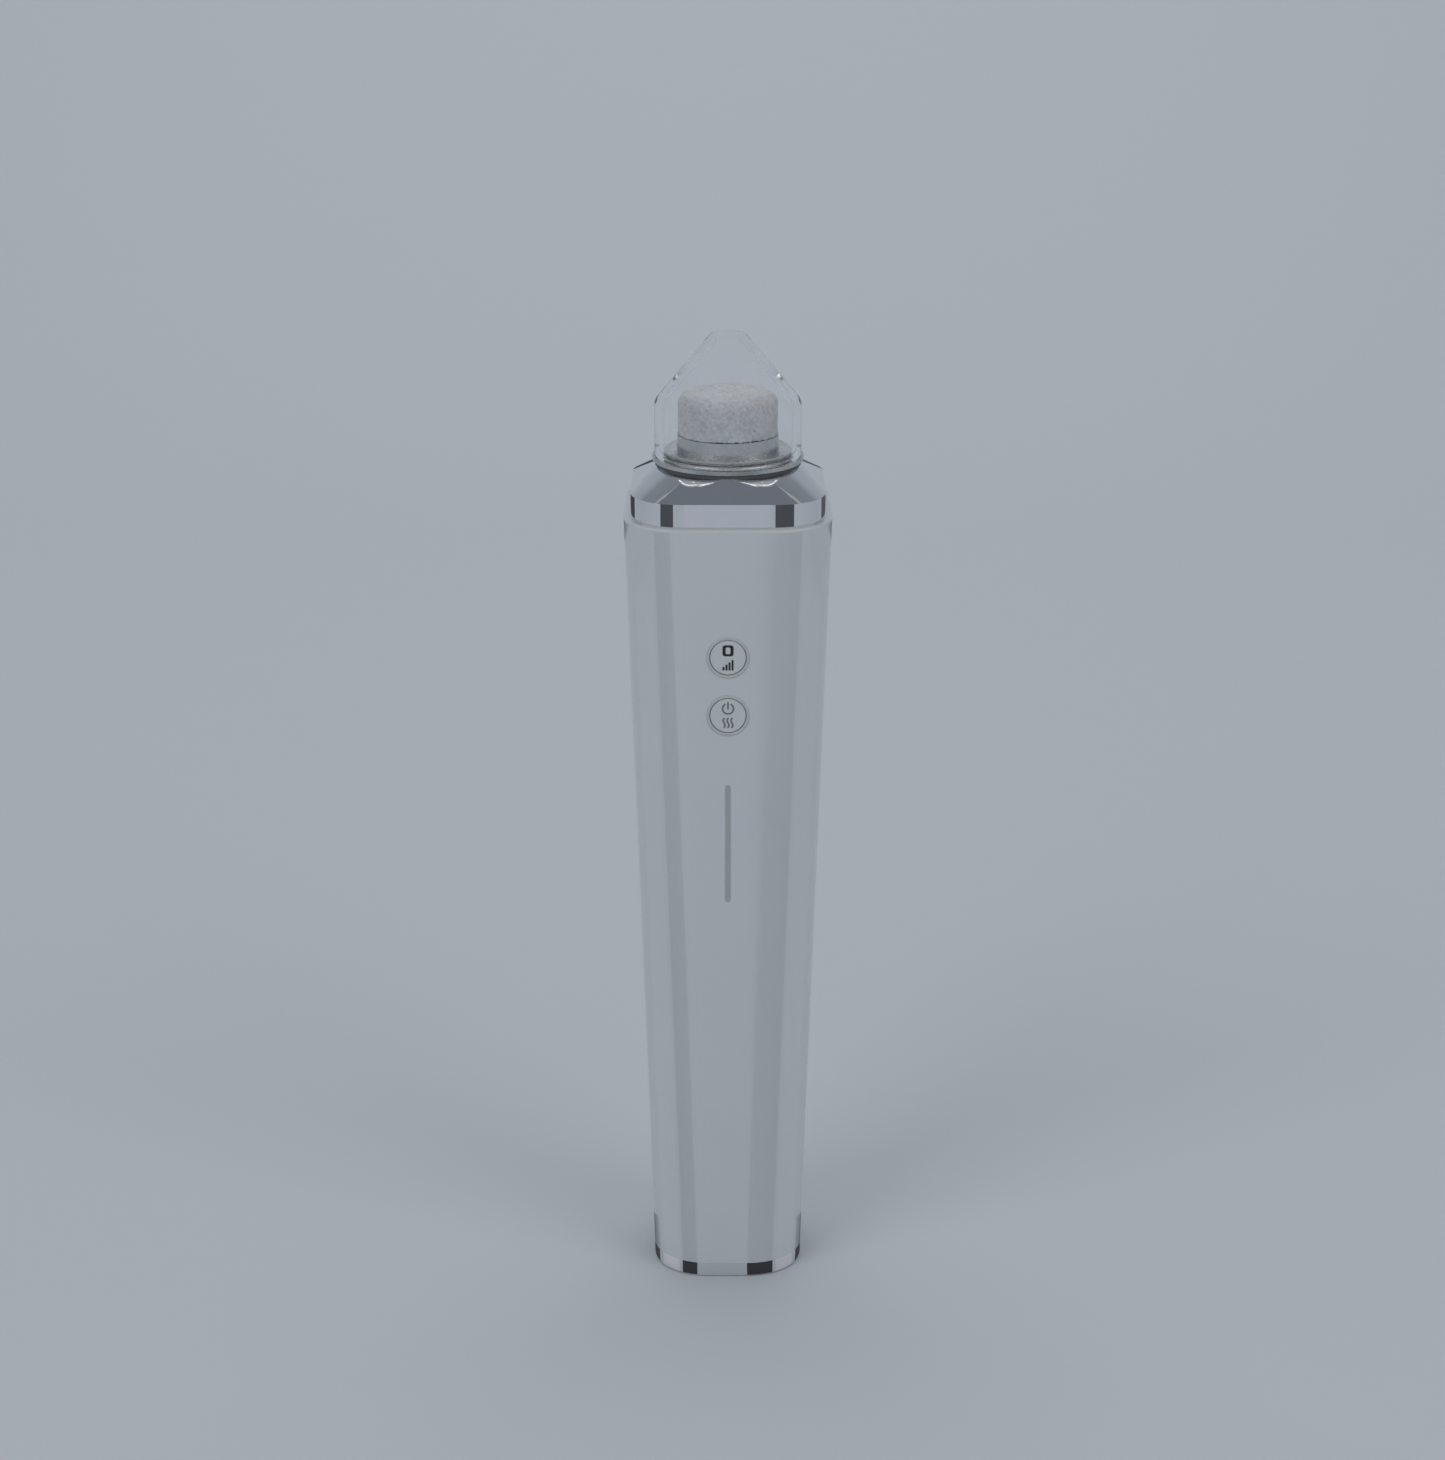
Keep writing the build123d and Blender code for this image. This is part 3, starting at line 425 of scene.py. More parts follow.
CHROME_GLOSS = {"Metallic": 1.0, "Specular IOR Level": 0.6}
PEARL = PearlPlastic(
    "pearl_white_plastic", (0.64, 0.67, 0.71), (0.66, 0.69, 0.725), Grain.MOULDED,
    0.5 * MM, 0.0012 * MM, 0.34, 0.04, 25 * MM,
    {"Coat Weight": 1.0, "Coat Roughness": 0.06, "Coat IOR": 1.9, "IOR": 1.5, "Subsurface Weight": 0.04,
     "Subsurface Scale": 0.001},
)
CHROME = Finish(
    "polished_chrome", (0.86, 0.87, 0.89), (0.83, 0.845, 0.87), Grain.POLISHED,
    3 * MM, 0.0006 * MM, 0.025, 0.012, 6 * MM, CHROME_GLOSS,
)
TURNED = TurnedMetal(
    "turned_nozzle_metal", (0.60, 0.605, 0.61), (0.68, 0.685, 0.69), Grain.TURNED,
    0.11 * MM, 0.004 * MM, 0.27, 0.04, 5 * MM,
    {"Metallic": 1.0, "Anisotropic": 0.8},
)
CLEAR = Finish(
    "clear_probe_plastic", (0.995, 0.997, 1.0), (0.985, 0.99, 0.995), Grain.POLISHED,
    4 * MM, 0.001 * MM, 0.03, 0.015, 8 * MM,
    {"Transmission Weight": 1.0, "IOR": 1.06, "Coat Weight": 0.25, "Coat Roughness": 0.03},
)
# The second colour also sets the shade painted into the pore middles.
SPONGE = Sponge(
    "filter_sponge", (0.66, 0.68, 0.70), (0.54, 0.555, 0.575), Grain.OPEN_CELL,
    0.55 * MM, 0.12 * MM, 0.9, 0.05, 3 * MM,
    {"Subsurface Weight": 0.15, "Subsurface Scale": 0.0015, "Sheen Weight": 0.25, "Sheen Roughness": 0.6},
)
RUBBER = Finish(
    "black_seal_rubber", (0.018, 0.018, 0.019), (0.03, 0.03, 0.031), Grain.SPARKED,
    0.2 * MM, 0.006 * MM, 0.62, 0.08,
)
GASKET_GREY = Finish(
    "grey_gasket_rubber", (0.10, 0.102, 0.105), (0.13, 0.132, 0.135), Grain.SPARKED,
    0.2 * MM, 0.005 * MM, 0.55, 0.08,
)
SEAL_GREY = Finish(
    "grey_seal_silicone", (0.26, 0.265, 0.275), (0.31, 0.315, 0.325), Grain.MOULDED,
    0.3 * MM, 0.004 * MM, 0.45, 0.06,
)
RING_METAL = Finish(
    "satin_ring_metal", (0.66, 0.675, 0.69), (0.70, 0.715, 0.73), Grain.POLISHED,
    0.3 * MM, 0.001 * MM, 0.42, 0.05, 2 * MM, {"Metallic": 0.35},
)
BUTTON = PearlPlastic(
    "button_satin_white", (0.65, 0.675, 0.71), (0.67, 0.695, 0.72), Grain.MOULDED,
    0.2 * MM, 0.0015 * MM, 0.36, 0.04, 6 * MM,
    {"Coat Weight": 0.35, "Coat Roughness": 0.15, "Subsurface Weight": 0.04, "Subsurface Scale": 0.001},
)
LIGHT_BAR = Finish(
    "frosted_light_bar", (0.55, 0.58, 0.61), (0.60, 0.625, 0.65), Grain.SPARKED,
    0.15 * MM, 0.004 * MM, 0.4, 0.06, 4 * MM,
    {"Transmission Weight": 0.25, "IOR": 1.49, "Coat Weight": 0.3, "Coat Roughness": 0.2},
)
DARK_INK = Finish(
    "dark_pad_ink", (0.02, 0.02, 0.022), (0.035, 0.035, 0.038), Grain.SPARKED,
    0.08 * MM, 0.002 * MM, 0.5, 0.08, 0.6 * MM,
)
GREY_INK = Finish(
    "grey_pad_ink", (0.17, 0.175, 0.185), (0.23, 0.235, 0.245), Grain.SPARKED,
    0.08 * MM, 0.002 * MM, 0.5, 0.08, 0.6 * MM,
)
WHITE_MOULDING = Finish(
    "white_inner_moulding", (0.68, 0.685, 0.67), (0.72, 0.72, 0.70), Grain.SPARKED,
    0.25 * MM, 0.008 * MM, 0.55, 0.07, 12 * MM, {"Subsurface Weight": 0.03},
)
BLACK_MOULDING = Finish(
    "black_inner_moulding", (0.022, 0.022, 0.024), (0.032, 0.032, 0.034), Grain.SPARKED,
    0.22 * MM, 0.007 * MM, 0.5, 0.08,
)
BOARD = BoardLaminate(
    "green_board_laminate", (0.012, 0.12, 0.045), (0.03, 0.20, 0.08), Grain.TRACED,
    0.5 * MM, 0.01 * MM, 0.35, 0.05, 6 * MM, {"Coat Weight": 0.4},
)
CHIP = Finish(
    "chip_epoxy", (0.02, 0.02, 0.021), (0.03, 0.03, 0.03), Grain.SPARKED, 0.12 * MM, rough=0.6,
)
LAMP = Finish(
    "lamp_body", (0.80, 0.78, 0.62), (0.84, 0.82, 0.68), Grain.MOULDED, 0.2 * MM,
    rough=0.2, gloss={"Transmission Weight": 0.2},
)
STEEL = Finish(
    "drawn_steel", (0.56, 0.56, 0.57), (0.62, 0.62, 0.63), Grain.BRUSHED, 0.12 * MM,
    0.003 * MM, 0.3, 0.07, gloss={"Metallic": 1.0, "Anisotropic": 0.4},
)
SCREW_STEEL = Finish(
    "zinc_plated_screw", (0.42, 0.42, 0.43), (0.50, 0.49, 0.47), Grain.BRUSHED, 0.1 * MM,
    0.004 * MM, 0.35, 0.08, 1.5 * MM, {"Metallic": 1.0},
)
FERRITE = Finish(
    "ferrite", (0.035, 0.034, 0.036), (0.055, 0.053, 0.055), Grain.SPARKED, 0.3 * MM, rough=0.6,
)
COPPER = Finish(
    "enamelled_copper", (0.55, 0.20, 0.08), (0.62, 0.26, 0.10), Grain.WOUND, 0.3 * MM,
    0.08 * MM, 0.25, 0.06, gloss={"Metallic": 1.0, "Coat Weight": 0.6},
)
BRONZE = Finish(
    "sintered_bronze", (0.40, 0.25, 0.11), (0.46, 0.30, 0.14), Grain.SPARKED, 0.15 * MM,
    0.01 * MM, 0.45, 0.08, gloss={"Metallic": 1.0},
)
NICKEL = Finish(
    "nickel_strip", (0.60, 0.58, 0.53), (0.66, 0.64, 0.60), Grain.BRUSHED, 0.2 * MM,
    rough=0.28, gloss={"Metallic": 1.0},
)
CELL_FILM = Finish(
    "cell_shrink_film", (0.02, 0.10, 0.32), (0.03, 0.13, 0.38), Grain.MOULDED, 2 * MM,
    0.02 * MM, 0.22, 0.05, gloss={"Coat Weight": 0.5},
)
SILICONE = Finish(
    "milky_silicone", (0.72, 0.74, 0.74), (0.78, 0.79, 0.79), Grain.MOULDED, 0.8 * MM,
    0.006 * MM, 0.4, 0.06, gloss={"Transmission Weight": 0.35, "IOR": 1.41},
)
# The second colour also sets the shade painted into the pore middles.
GREY_FOAM = Sponge(
    "damping_foam", (0.075, 0.075, 0.08), (0.045, 0.045, 0.05), Grain.OPEN_CELL, 0.4 * MM,
    0.08 * MM, 0.95, 0.03,
)
WIRE = Finish(
    "wire_jacket", (0.35, 0.02, 0.02), (0.42, 0.03, 0.03), Grain.MOULDED, 0.6 * MM,
    0.004 * MM, 0.35, 0.06,
)


class FinishBook:
    """Makes each finish once and puts it on parts."""

    def __init__(self, nodes: dict[str, bpy.types.Object]) -> None:
        """Keep the CAD nodes by name, with no finish made yet."""
        self.nodes = nodes
        self.made: dict[str, bpy.types.Material] = {}

    def material(self, finish: Finish) -> bpy.types.Material:
        """The material of a finish, made at its first use."""
        if finish.name not in self.made:
            self.made[finish.name] = finish.build()
        return self.made[finish.name]

    def coat(self, piece: bpy.types.Object, finish: Finish) -> None:
        """Put a finish on a piece, in place of any that it had."""
        piece.data.materials.clear()
        piece.data.materials.append(self.material(finish))

    def dress(self, finishes: dict[str, Finish]) -> None:
        """Put finishes on CAD nodes.

        Args:
            finishes: The finish of each node, by name.
        """
        for name, finish in finishes.items():
            self.coat(self.nodes[name], finish)
            LOG.info("dressed %s in %s", name, finish.name)


# ------------------------------------------------------------------ mesh making
def add_piece(name: str, mesh: Mesh, smooth_under: float | None = None) -> bpy.types.Object:
    """Turn a bmesh into an object in the scene.

    Args:
        name: The piece's name.
        mesh: What it is made of; it is used up.
        smooth_under: Edges under this angle, in degrees, are shaded smooth.

    Returns:
        The new object.
    """
    bmesh.ops.recalc_face_normals(mesh, faces=mesh.faces)
    data = bpy.data.meshes.new(name)
    mesh.to_mesh(data)
    mesh.free()
    if smooth_under is not None:
        data.polygons.foreach_set("use_smooth", [True] * len(data.polygons))
        data.set_sharp_from_angle(angle=math.radians(smooth_under))
    piece = bpy.data.objects.new(name, data)
    bpy.context.scene.collection.objects.link(piece)
    return piece


def arc(centre: Point2, radius: float, start: float, end: float, steps: int) -> list[Point2]:
    """Points on an arc.

    Args:
        centre: Its centre.
        radius: Its radius.
        start: Its first angle, in degrees.
        end: Its last angle, in degrees.
        steps: How many parts it has.

    Returns:
        The points, both ends included.
    """
    angles = [math.radians(start + (end - start) * i / steps) for i in range(steps + 1)]
    return [(centre[0] + radius * math.cos(a), centre[1] + radius * math.sin(a)) for a in angles]


def stroke_outline(line: Sequence[Point2], width: float, cap_steps: int = 6) -> list[Point2]:
    """The outline of a line drawn with a round pen.

    Args:
        line: The pen's path.
        width: The pen's width.
        cap_steps: How many parts each round end has.

    Returns:
        The closed outline's points.
    """
    path = [Vector(p) for p in line]
    sides: list[Vector] = []
    for i, _ in enumerate(path):
        before = path[max(i - 1, 0)]
        after = path[min(i + 1, len(path) - 1)]
        along = (after - before).normalized()
        sides.append(Vector((-along.y, along.x)) * width / 2)
    left = [tuple(p + s) for p, s in zip(path, sides)]
    right = [tuple(p - s) for p, s in zip(path, sides)]
    end_angle = math.degrees(math.atan2(sides[-1].y, sides[-1].x))
    start_angle = math.degrees(math.atan2(sides[0].y, sides[0].x))
    end_cap = arc(tuple(path[-1]), width / 2, end_angle, end_angle - 180, cap_steps)[1:-1]
    start_cap = arc(tuple(path[0]), width / 2, start_angle + 180, start_angle, cap_steps)[1:-1]
    return left + end_cap + right[::-1] + start_cap


def skin(mesh: Mesh, rows: Sequence[Sequence[bmesh.types.BMVert]], round_rows: bool = False) -> None:
    """Lay four-sided faces between each row of points and the next.

    Args:
        mesh: The mesh to add to.
        rows: The rows, with as many points each.
        round_rows: Whether each row's end also joins its start.
    """
    for a, b in zip(rows, rows[1:]):
        for i in range(len(a) if round_rows else len(a) - 1):
            j = (i + 1) % len(a)
            mesh.faces.new((a[i], a[j], b[j], b[i]))


def raise_outline(mesh: Mesh, outline: Sequence[Point2], thick: float) -> None:
    """Add a flat plate of an outline to a mesh.

    Args:
        mesh: The mesh to add to.
        outline: The plate's closed outline.
        thick: Its thickness, upward from zero.
    """
    low = [mesh.verts.new((x, y, 0.0)) for x, y in outline]
    high = [mesh.verts.new((x, y, thick)) for x, y in outline]
    mesh.faces.new(high)
    mesh.faces.new(low[::-1])
    skin(mesh, [low, high], round_rows=True)


def raise_ring(mesh: Mesh, outer: Sequence[Point2], inner: Sequence[Point2], thick: float) -> None:
    """Add a flat closed band between two outlines with as many points each.

    Args:
        mesh: The mesh to add to.
        outer: The outer outline.
        inner: The inner outline.
        thick: The thickness, upward from zero.
    """
    edges = ((outer, 0.0), (outer, thick), (inner, thick), (inner, 0.0))
    loops = [[mesh.verts.new((x, y, level)) for x, y in outline] for outline, level in edges]
    skin(mesh, loops + loops[:1], round_rows=True)


def rounded_box(width: float, height: float, radius: float, steps: int = 5) -> list[Point2]:
    """A rounded rectangle's outline about the origin.

    Args:
        width: Its full width.
        height: Its full height.
        radius: Its corner radius.
        steps: How many parts each corner has.

    Returns:
        The closed outline's points.
    """
    x = width / 2 - radius
    y = height / 2 - radius
    corners = [((x, y), 0), ((-x, y), 90), ((-x, -y), 180), ((x, -y), 270)]
    return [p for centre, turn in corners for p in arc(centre, radius, turn, turn + 90, steps)]


def shifted(points: Sequence[Point2], dx: float, dy: float) -> list[Point2]:
    """The same points, moved."""
    return [(x + dx, y + dy) for x, y in points]


def round_corners(corners: Sequence[tuple[Point2, float]], steps: int = 8) -> list[Point2]:
    """A closed outline with its corners rounded.

    Args:
        corners: Each corner and its radius, in order; a radius of zero leaves it sharp.
        steps: How many parts each round corner has.

    Returns:
        The closed outline's points.
    """
    made: list[Point2] = []
    for i, (corner, radius) in enumerate(corners):
        here = Vector(corner)
        if radius == 0.0:
            made.append(tuple(here))
            continue
        before = (Vector(corners[i - 1][0]) - here).normalized()
        after = (Vector(corners[(i + 1) % len(corners)][0]) - here).normalized()
        half = before.angle(after) / 2
        cut = radius / math.tan(half)
        centre = here + (before + after).normalized() * radius / math.sin(half)
        start, end = here + before * cut - centre, here + after * cut - centre
        for j in range(steps + 1):
            made.append(tuple(centre + start.lerp(end, j / steps).normalized() * radius))
    return made


def spin(mesh: Mesh, section: Sequence[Point2], count: int) -> list[list[bmesh.types.BMVert]]:
    """Turn each point of a half section round the Z axis.

    Args:
        mesh: The mesh to add to.
        section: Radius and height of each point, clear of the axis.
        count: How many steps one turn has.

    Returns:
        One ring of points for each point of the section.
    """
    angles = [math.tau * i / count for i in range(count)]
    return [[mesh.verts.new((r * math.cos(a), r * math.sin(a), z)) for a in angles] for r, z in section]


# ------------------------------------------------------------------ sub-assemblies
@dataclass
class Handle:
    """The white sleeve, its light bar and the two halves of the chassis inside it."""

    book: FinishBook

    def dress(self) -> None:
        """Put the finishes on the sleeve, the light bar and the chassis."""
        self.book.dress({
            "body_sleeve": PEARL,
            "light_guide": LIGHT_BAR,
            "chassis_rear": WHITE_MOULDING,
            "chassis_front": WHITE_MOULDING,
            "chassis_screws": SCREW_STEEL,
        })


@dataclass
class Foot:
    """The bright foot ring, the end cap and the charging socket."""

    book: FinishBook

    def dress(self) -> None:
        """Put the finishes on the foot's parts."""
        self.book.dress({
            "base_ring": CHROME,
            "end_cap": WHITE_MOULDING,
            "end_cap_screws": SCREW_STEEL,
            "charging_socket": STEEL,
            "socket_tongue": BLACK_MOULDING,
            "charging_board": BOARD,
            "charging_leads": WIRE,
        })


@dataclass
class Head:
    """The bright collar and the turned nozzle on it."""

    book: FinishBook

    def dress(self) -> None:
        """Put the finishes on the head's parts."""
        self.book.dress({
            "top_collar": CHROME,
            "nozzle_gasket": GASKET_GREY,
            "nozzle_base": TURNED,
            "nozzle_nut": STEEL,
            "probe_seal": SEAL_GREY,
            "filter_grid": BLACK_MOULDING,
            "intake_hose": SILICONE,
        })


@dataclass
class ClearProbe:
    """The clear cap: a straight skirt, a cone and a small round mouth, with softened edges.

    Attributes:
        book: Where its finish comes from.
        wall: The skirt's wall.
        skirt: The skirt's height.
        tip_radius: The outer radius at the mouth.
        bore_radius: The mouth's radius.
        shoulder_round: The rounding between the skirt and the cone.
        lip_round: The rounding of the mouth's lip.
        foot_round: The rounding of the skirt's lower edge.
        seat_gap: The gap that the skirt keeps above the nozzle's flange.
        count: How many steps one turn has.
    """

    book: FinishBook
    wall: float = 1.8 * MM
    skirt: float = 11.0 * MM
    tip_radius: float = 3.55 * MM
    bore_radius: float = 2.45 * MM
    shoulder_round: float = 1.6 * MM
    lip_round: float = 0.35 * MM
    foot_round: float = 0.2 * MM
    seat_gap: float = 0.06 * MM
    count: int = 240

    def outline(self, low: float, high: float, radius: float) -> list[Point2]:
        """The half section of the wall.

        Args:
            low: The skirt's lower edge.
            high: The mouth's height.
            radius: The skirt's outer radius.

        Returns:
            Radius and height of each point.
        """
        shoulder = low + self.skirt
        rise, run = high - shoulder, radius - self.tip_radius
        inner = radius - self.wall
        slant = self.wall * math.hypot(rise, run) / rise
        inner_shoulder = shoulder - (slant - self.wall) * rise / run
        land = inner_shoulder + (inner - self.bore_radius) * rise / run
        foot = low + self.seat_gap
        return round_corners([
            ((inner, foot), self.foot_round),
            ((radius, foot), self.foot_round),
            ((radius, shoulder), self.shoulder_round),
            ((self.tip_radius, high), self.lip_round),
            ((self.bore_radius, high), self.lip_round),
            ((self.bore_radius, land), 0.0),
            ((inner, inner_shoulder), self.shoulder_round),
        ])

    def build(self) -> None:
        """Turn the section round the axis and put the cap in the CAD node's place."""
        low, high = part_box("suction_probe")
        mesh = bmesh.new()
        rings = spin(mesh, self.outline(low.z, high.z, high.x), self.count)
        skin(mesh, rings + rings[:1], round_rows=True)
        cap = add_piece("clear_probe_cap", mesh, 25)
        self.book.coat(cap, CLEAR)
        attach(cap, "probe")
        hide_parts("suction_probe")
        LOG.info("built clear_probe_cap")


@dataclass
class FilterSponge:
    """The sponge filter: a plug in the nozzle's cup and a soft head above it.

    Attributes:
        book: Where its finish comes from.
        plug_radius: The plug's radius.
        plug_depth: How deep the plug sits.
        edge_round: The head's soft top edge.
        step: The spacing of the mesh.
        pore_size: The usual distance between two pores.
        pore_depth: How deep a pore is.
        pore_edge: How sharply a pore's rim falls away.
        lump_size: The size of a lump.
        lump_depth: How far the surface sinks between lumps.
    """

    book: FinishBook
    plug_radius: float = 8.7 * MM
    plug_depth: float = 2.0 * MM
    edge_round: float = 2.3 * MM
    step: float = 0.24 * MM
    pore_size: float = 0.95 * MM
    pore_depth: float = 0.3 * MM
    pore_edge: float = 2.2
    lump_size: float = 4.0 * MM
    lump_depth: float = 0.2 * MM

    def profile(self, low: float, high: float, radius: float) -> list[Point2]:
        """The half section, from the middle of the underside to the middle of the top.

        Args:
            low: The plug's lower face.
            high: The head's top.
            radius: The head's radius.

        Returns:
            Radius and height of each point.
        """
        seat = low + self.plug_depth
        turn = (radius - self.edge_round, high - self.edge_round)
        quarter = arc(turn, self.edge_round, 0, 90, 8)
        corners = [(self.step, low), (self.plug_radius, low), (self.plug_radius, seat), (radius, seat)]
        corners += [*quarter, (self.step, high)]
        points: list[Point2] = [corners[0]]
        for a, b in zip(corners, corners[1:]):
            parts = max(1, round(math.dist(a, b) / self.step))
            for i in range(1, parts + 1):
                points.append((a[0] + (b[0] - a[0]) * i / parts, a[1] + (b[1] - a[1]) * i / parts))
        return points

    def sink(self, place: Vector) -> float:
        """How far the surface sinks at a place.

        Args:
            place: A point of the smooth surface.

        Returns:
            The depth.
        """
        nearest = noise.voronoi(place / self.pore_size)[0][0]
        pore = max(0.0, 1.0 - nearest * self.pore_edge)
        lump = 0.5 + 0.5 * noise.noise(place / self.lump_size)
        return self.pore_depth * pore * (2.0 - pore) + self.lump_depth * lump

    def build(self) -> None:
        """Turn the section round the axis, sink the pores and put the sponge in the cup."""
        low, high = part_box("filter_foam")
        count = round(math.tau * high.x / self.step)
        mesh = bmesh.new()
        rings = spin(mesh, self.profile(low.z, high.z, high.x), count)
        skin(mesh, rings, round_rows=True)
        for ring, level in ((rings[0], low.z), (rings[-1], high.z)):
            middle = mesh.verts.new((0.0, 0.0, level))
            for i in range(count):
                mesh.faces.new((ring[i], ring[(i + 1) % count], middle))
        bmesh.ops.recalc_face_normals(mesh, faces=mesh.faces)
        mesh.normal_update()
        for vertex, move in [(v, v.normal * self.sink(v.co)) for v in mesh.verts]:
            vertex.co -= move
        sponge = add_piece("sponge_filter", mesh, 80)
        self.book.coat(sponge, SPONGE)
        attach(sponge, "filter")
        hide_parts("filter_foam")
        LOG.info("built sponge_filter with %d rings", len(rings))


class Mark(Enum):
    """The printed marks on the buttons."""

    CELL = "cell"
    LEVEL = "level"
    POWER = "power"
    HEAT = "heat"


@dataclass
class Buttons:
    """The two front buttons with their bezels, switches and printed marks.

    Attributes:
        book: Where the finishes come from.
        joints: The frame's joints, which give the way each button is pressed.
        ink: The thickness of the printed marks.
        pen: The width of a mark's lines.
        mark_rise: How far the marks stand above and below a button's middle.
    """

    book: FinishBook
    joints: list[dict]
    ink: float = 0.03 * MM
    pen: float = 0.34 * MM
    mark_rise: float = 1.5 * MM

    def dress(self) -> None:
        """Put the finishes on the buttons and the switches behind them."""
        for side in ("upper", "lower"):
            self.book.dress({
                f"{side}_button_cap": BUTTON,
                f"{side}_button_bezel": RING_METAL,
                f"{side}_switch": BLACK_MOULDING,
                f"{side}_switch_plunger": WHITE_MOULDING,
            })

    def face_of(self, side: str) -> Matrix:
        """The frame of a button's face: X right, Y up the face, Z out of it.

        Args:
            side: upper or lower.

        Returns:
            The matrix from that frame to the row's.
        """
        press = next(j["axis"] for j in self.joints if j["name"] == f"{side}_button_press")
        out = -Vector(press).normalized()
        across = Vector((1.0, 0.0, 0.0))
        up = out.cross(across)
        cap = self.book.nodes[f"{side}_button_cap"].data
        proud = max(v.co.dot(out) for v in cap.vertices)
        heights = [v.co.dot(up) for v in cap.vertices]
        middle = up * (min(heights) + max(heights)) / 2 + out * proud
        turn = Matrix((across, up, out)).transposed().to_4x4()
        return Matrix.Translation(middle) @ turn

    def cell_mark(self, mesh: Mesh) -> None:
        """Draw a small upright cell: a hollow rounded frame.

        Args:
            mesh: The mesh to draw in.
        """
        wide, tall = 2.2 * MM, 2.3 * MM
        outer_round, inner_round = 0.5 * MM, 0.3 * MM
        side_line, end_line = 1.8 * self.pen, 1.3 * self.pen
        outer = rounded_box(wide, tall, outer_round)
        inner = rounded_box(wide - 2 * side_line, tall - 2 * end_line, inner_round)
        raise_ring(mesh, shifted(outer, 0, self.mark_rise), shifted(inner, 0, self.mark_rise), self.ink)

    def level_mark(self, mesh: Mesh) -> None:
        """Draw bars that rise to the right.

        Args:
            mesh: The mesh to draw in.
        """
        count = 4
        pitch, shortest, growth = 0.6 * MM, 0.4 * MM, 0.48 * MM
        base = -self.mark_rise - 0.95 * MM
        bold_pen = self.pen * 1.2
        for i in range(count):
            x = (i - (count - 1) / 2) * pitch
            tall = shortest + growth * i
            raise_outline(mesh, stroke_outline([(x, base), (x, base + tall)], bold_pen), self.ink)

    def power_mark(self, mesh: Mesh) -> None:
        """Draw an open circle with an upright line through its gap.

        Args:
            mesh: The mesh to draw in.
        """
        radius = 1.1 * MM
        gap_left, gap_right = 125, 415
        ring = arc((0.0, self.mark_rise), radius, gap_left, gap_right, 28)
        raise_outline(mesh, stroke_outline(ring, self.pen), self.ink)
        top = self.mark_rise + radius * 1.15
        raise_outline(mesh, stroke_outline([(0.0, self.mark_rise), (0.0, top)], self.pen), self.ink)

    def heat_mark(self, mesh: Mesh) -> None:
        """Draw three wavy lines, side by side.

        Args:
            mesh: The mesh to draw in.
        """
        tall, sway, pitch = 1.9 * MM, 0.18 * MM, 0.78 * MM
        steps = 14
        for x in (-pitch, 0.0, pitch):
            line = []
            for i in range(steps + 1):
                t = i / steps
                line.append((x + sway * math.sin(math.tau * t), -self.mark_rise + (t - 0.5) * tall))
            raise_outline(mesh, stroke_outline(line, self.pen), self.ink)

    def print_mark(self, side: str, mark: Mark, finish: Finish) -> None:
        """Print one mark on a button.

        Args:
            side: upper or lower.
            mark: What is printed.
            finish: The ink.
        """
        drawers: dict[Mark, Callable[[Mesh], None]] = {
            Mark.CELL: self.cell_mark,
            Mark.LEVEL: self.level_mark,
            Mark.POWER: self.power_mark,
            Mark.HEAT: self.heat_mark,
        }
        mesh = bmesh.new()
        drawers[mark](mesh)
        mesh.transform(self.face_of(side))
        piece = add_piece(f"{side}_button_{mark.value}_mark", mesh)
        self.book.coat(piece, finish)
        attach(piece, f"{side}_button")
        LOG.info("printed %s", piece.name)

    def build(self) -> None:
        """Print all four marks."""
        self.print_mark("upper", Mark.CELL, DARK_INK)
        self.print_mark("upper", Mark.LEVEL, DARK_INK)
        self.print_mark("lower", Mark.POWER, GREY_INK)
        self.print_mark("lower", Mark.HEAT, GREY_INK)


@dataclass
class Electronics:
    """The main board with its lamps and chips, the cell and its wires."""

    book: FinishBook

    def dress(self) -> None:
        """Put the finishes on the electronic parts."""
        self.book.dress({
            "main_board": BOARD,
            "board_parts": CHIP,
            "board_screws": SCREW_STEEL,
            "status_leds": LAMP,
            "battery_cell": CELL_FILM,
            "battery_tabs": NICKEL,
            "battery_leads": WIRE,
        })


@dataclass
class Drive:
    """The motor and the rocking-plate pump on top of it."""

    book: FinishBook

    def dress(self) -> None:
        """Put the finishes on the motor and the pump."""
        self.book.dress({
            "motor_can": STEEL,
            "motor_end_bell": BLACK_MOULDING,
            "motor_terminals": NICKEL,
            "motor_brushes": FERRITE,
            "motor_bushes": BRONZE,
            "motor_magnets": FERRITE,
            "motor_shaft": STEEL,
            "armature_core": STEEL,
            "armature_windings": COPPER,
            "commutator": COPPER,
            "motor_foam": GREY_FOAM,
            "motor_leads": WIRE,
            "crank": WHITE_MOULDING,
            "crank_pin": STEEL,
            "wobble_plate": WHITE_MOULDING,
            "crankcase": BLACK_MOULDING,
            "diaphragm": RUBBER,
            "valve_plate": BLACK_MOULDING,
            "valve_membrane": SILICONE,
            "pump_cover": BLACK_MOULDING,
            "pump_screws": SCREW_STEEL,
        })


# ------------------------------------------------------------------ studio
CORNER_GAP = 0.3 * MM
FLOOR_GAP = 0.15 * MM


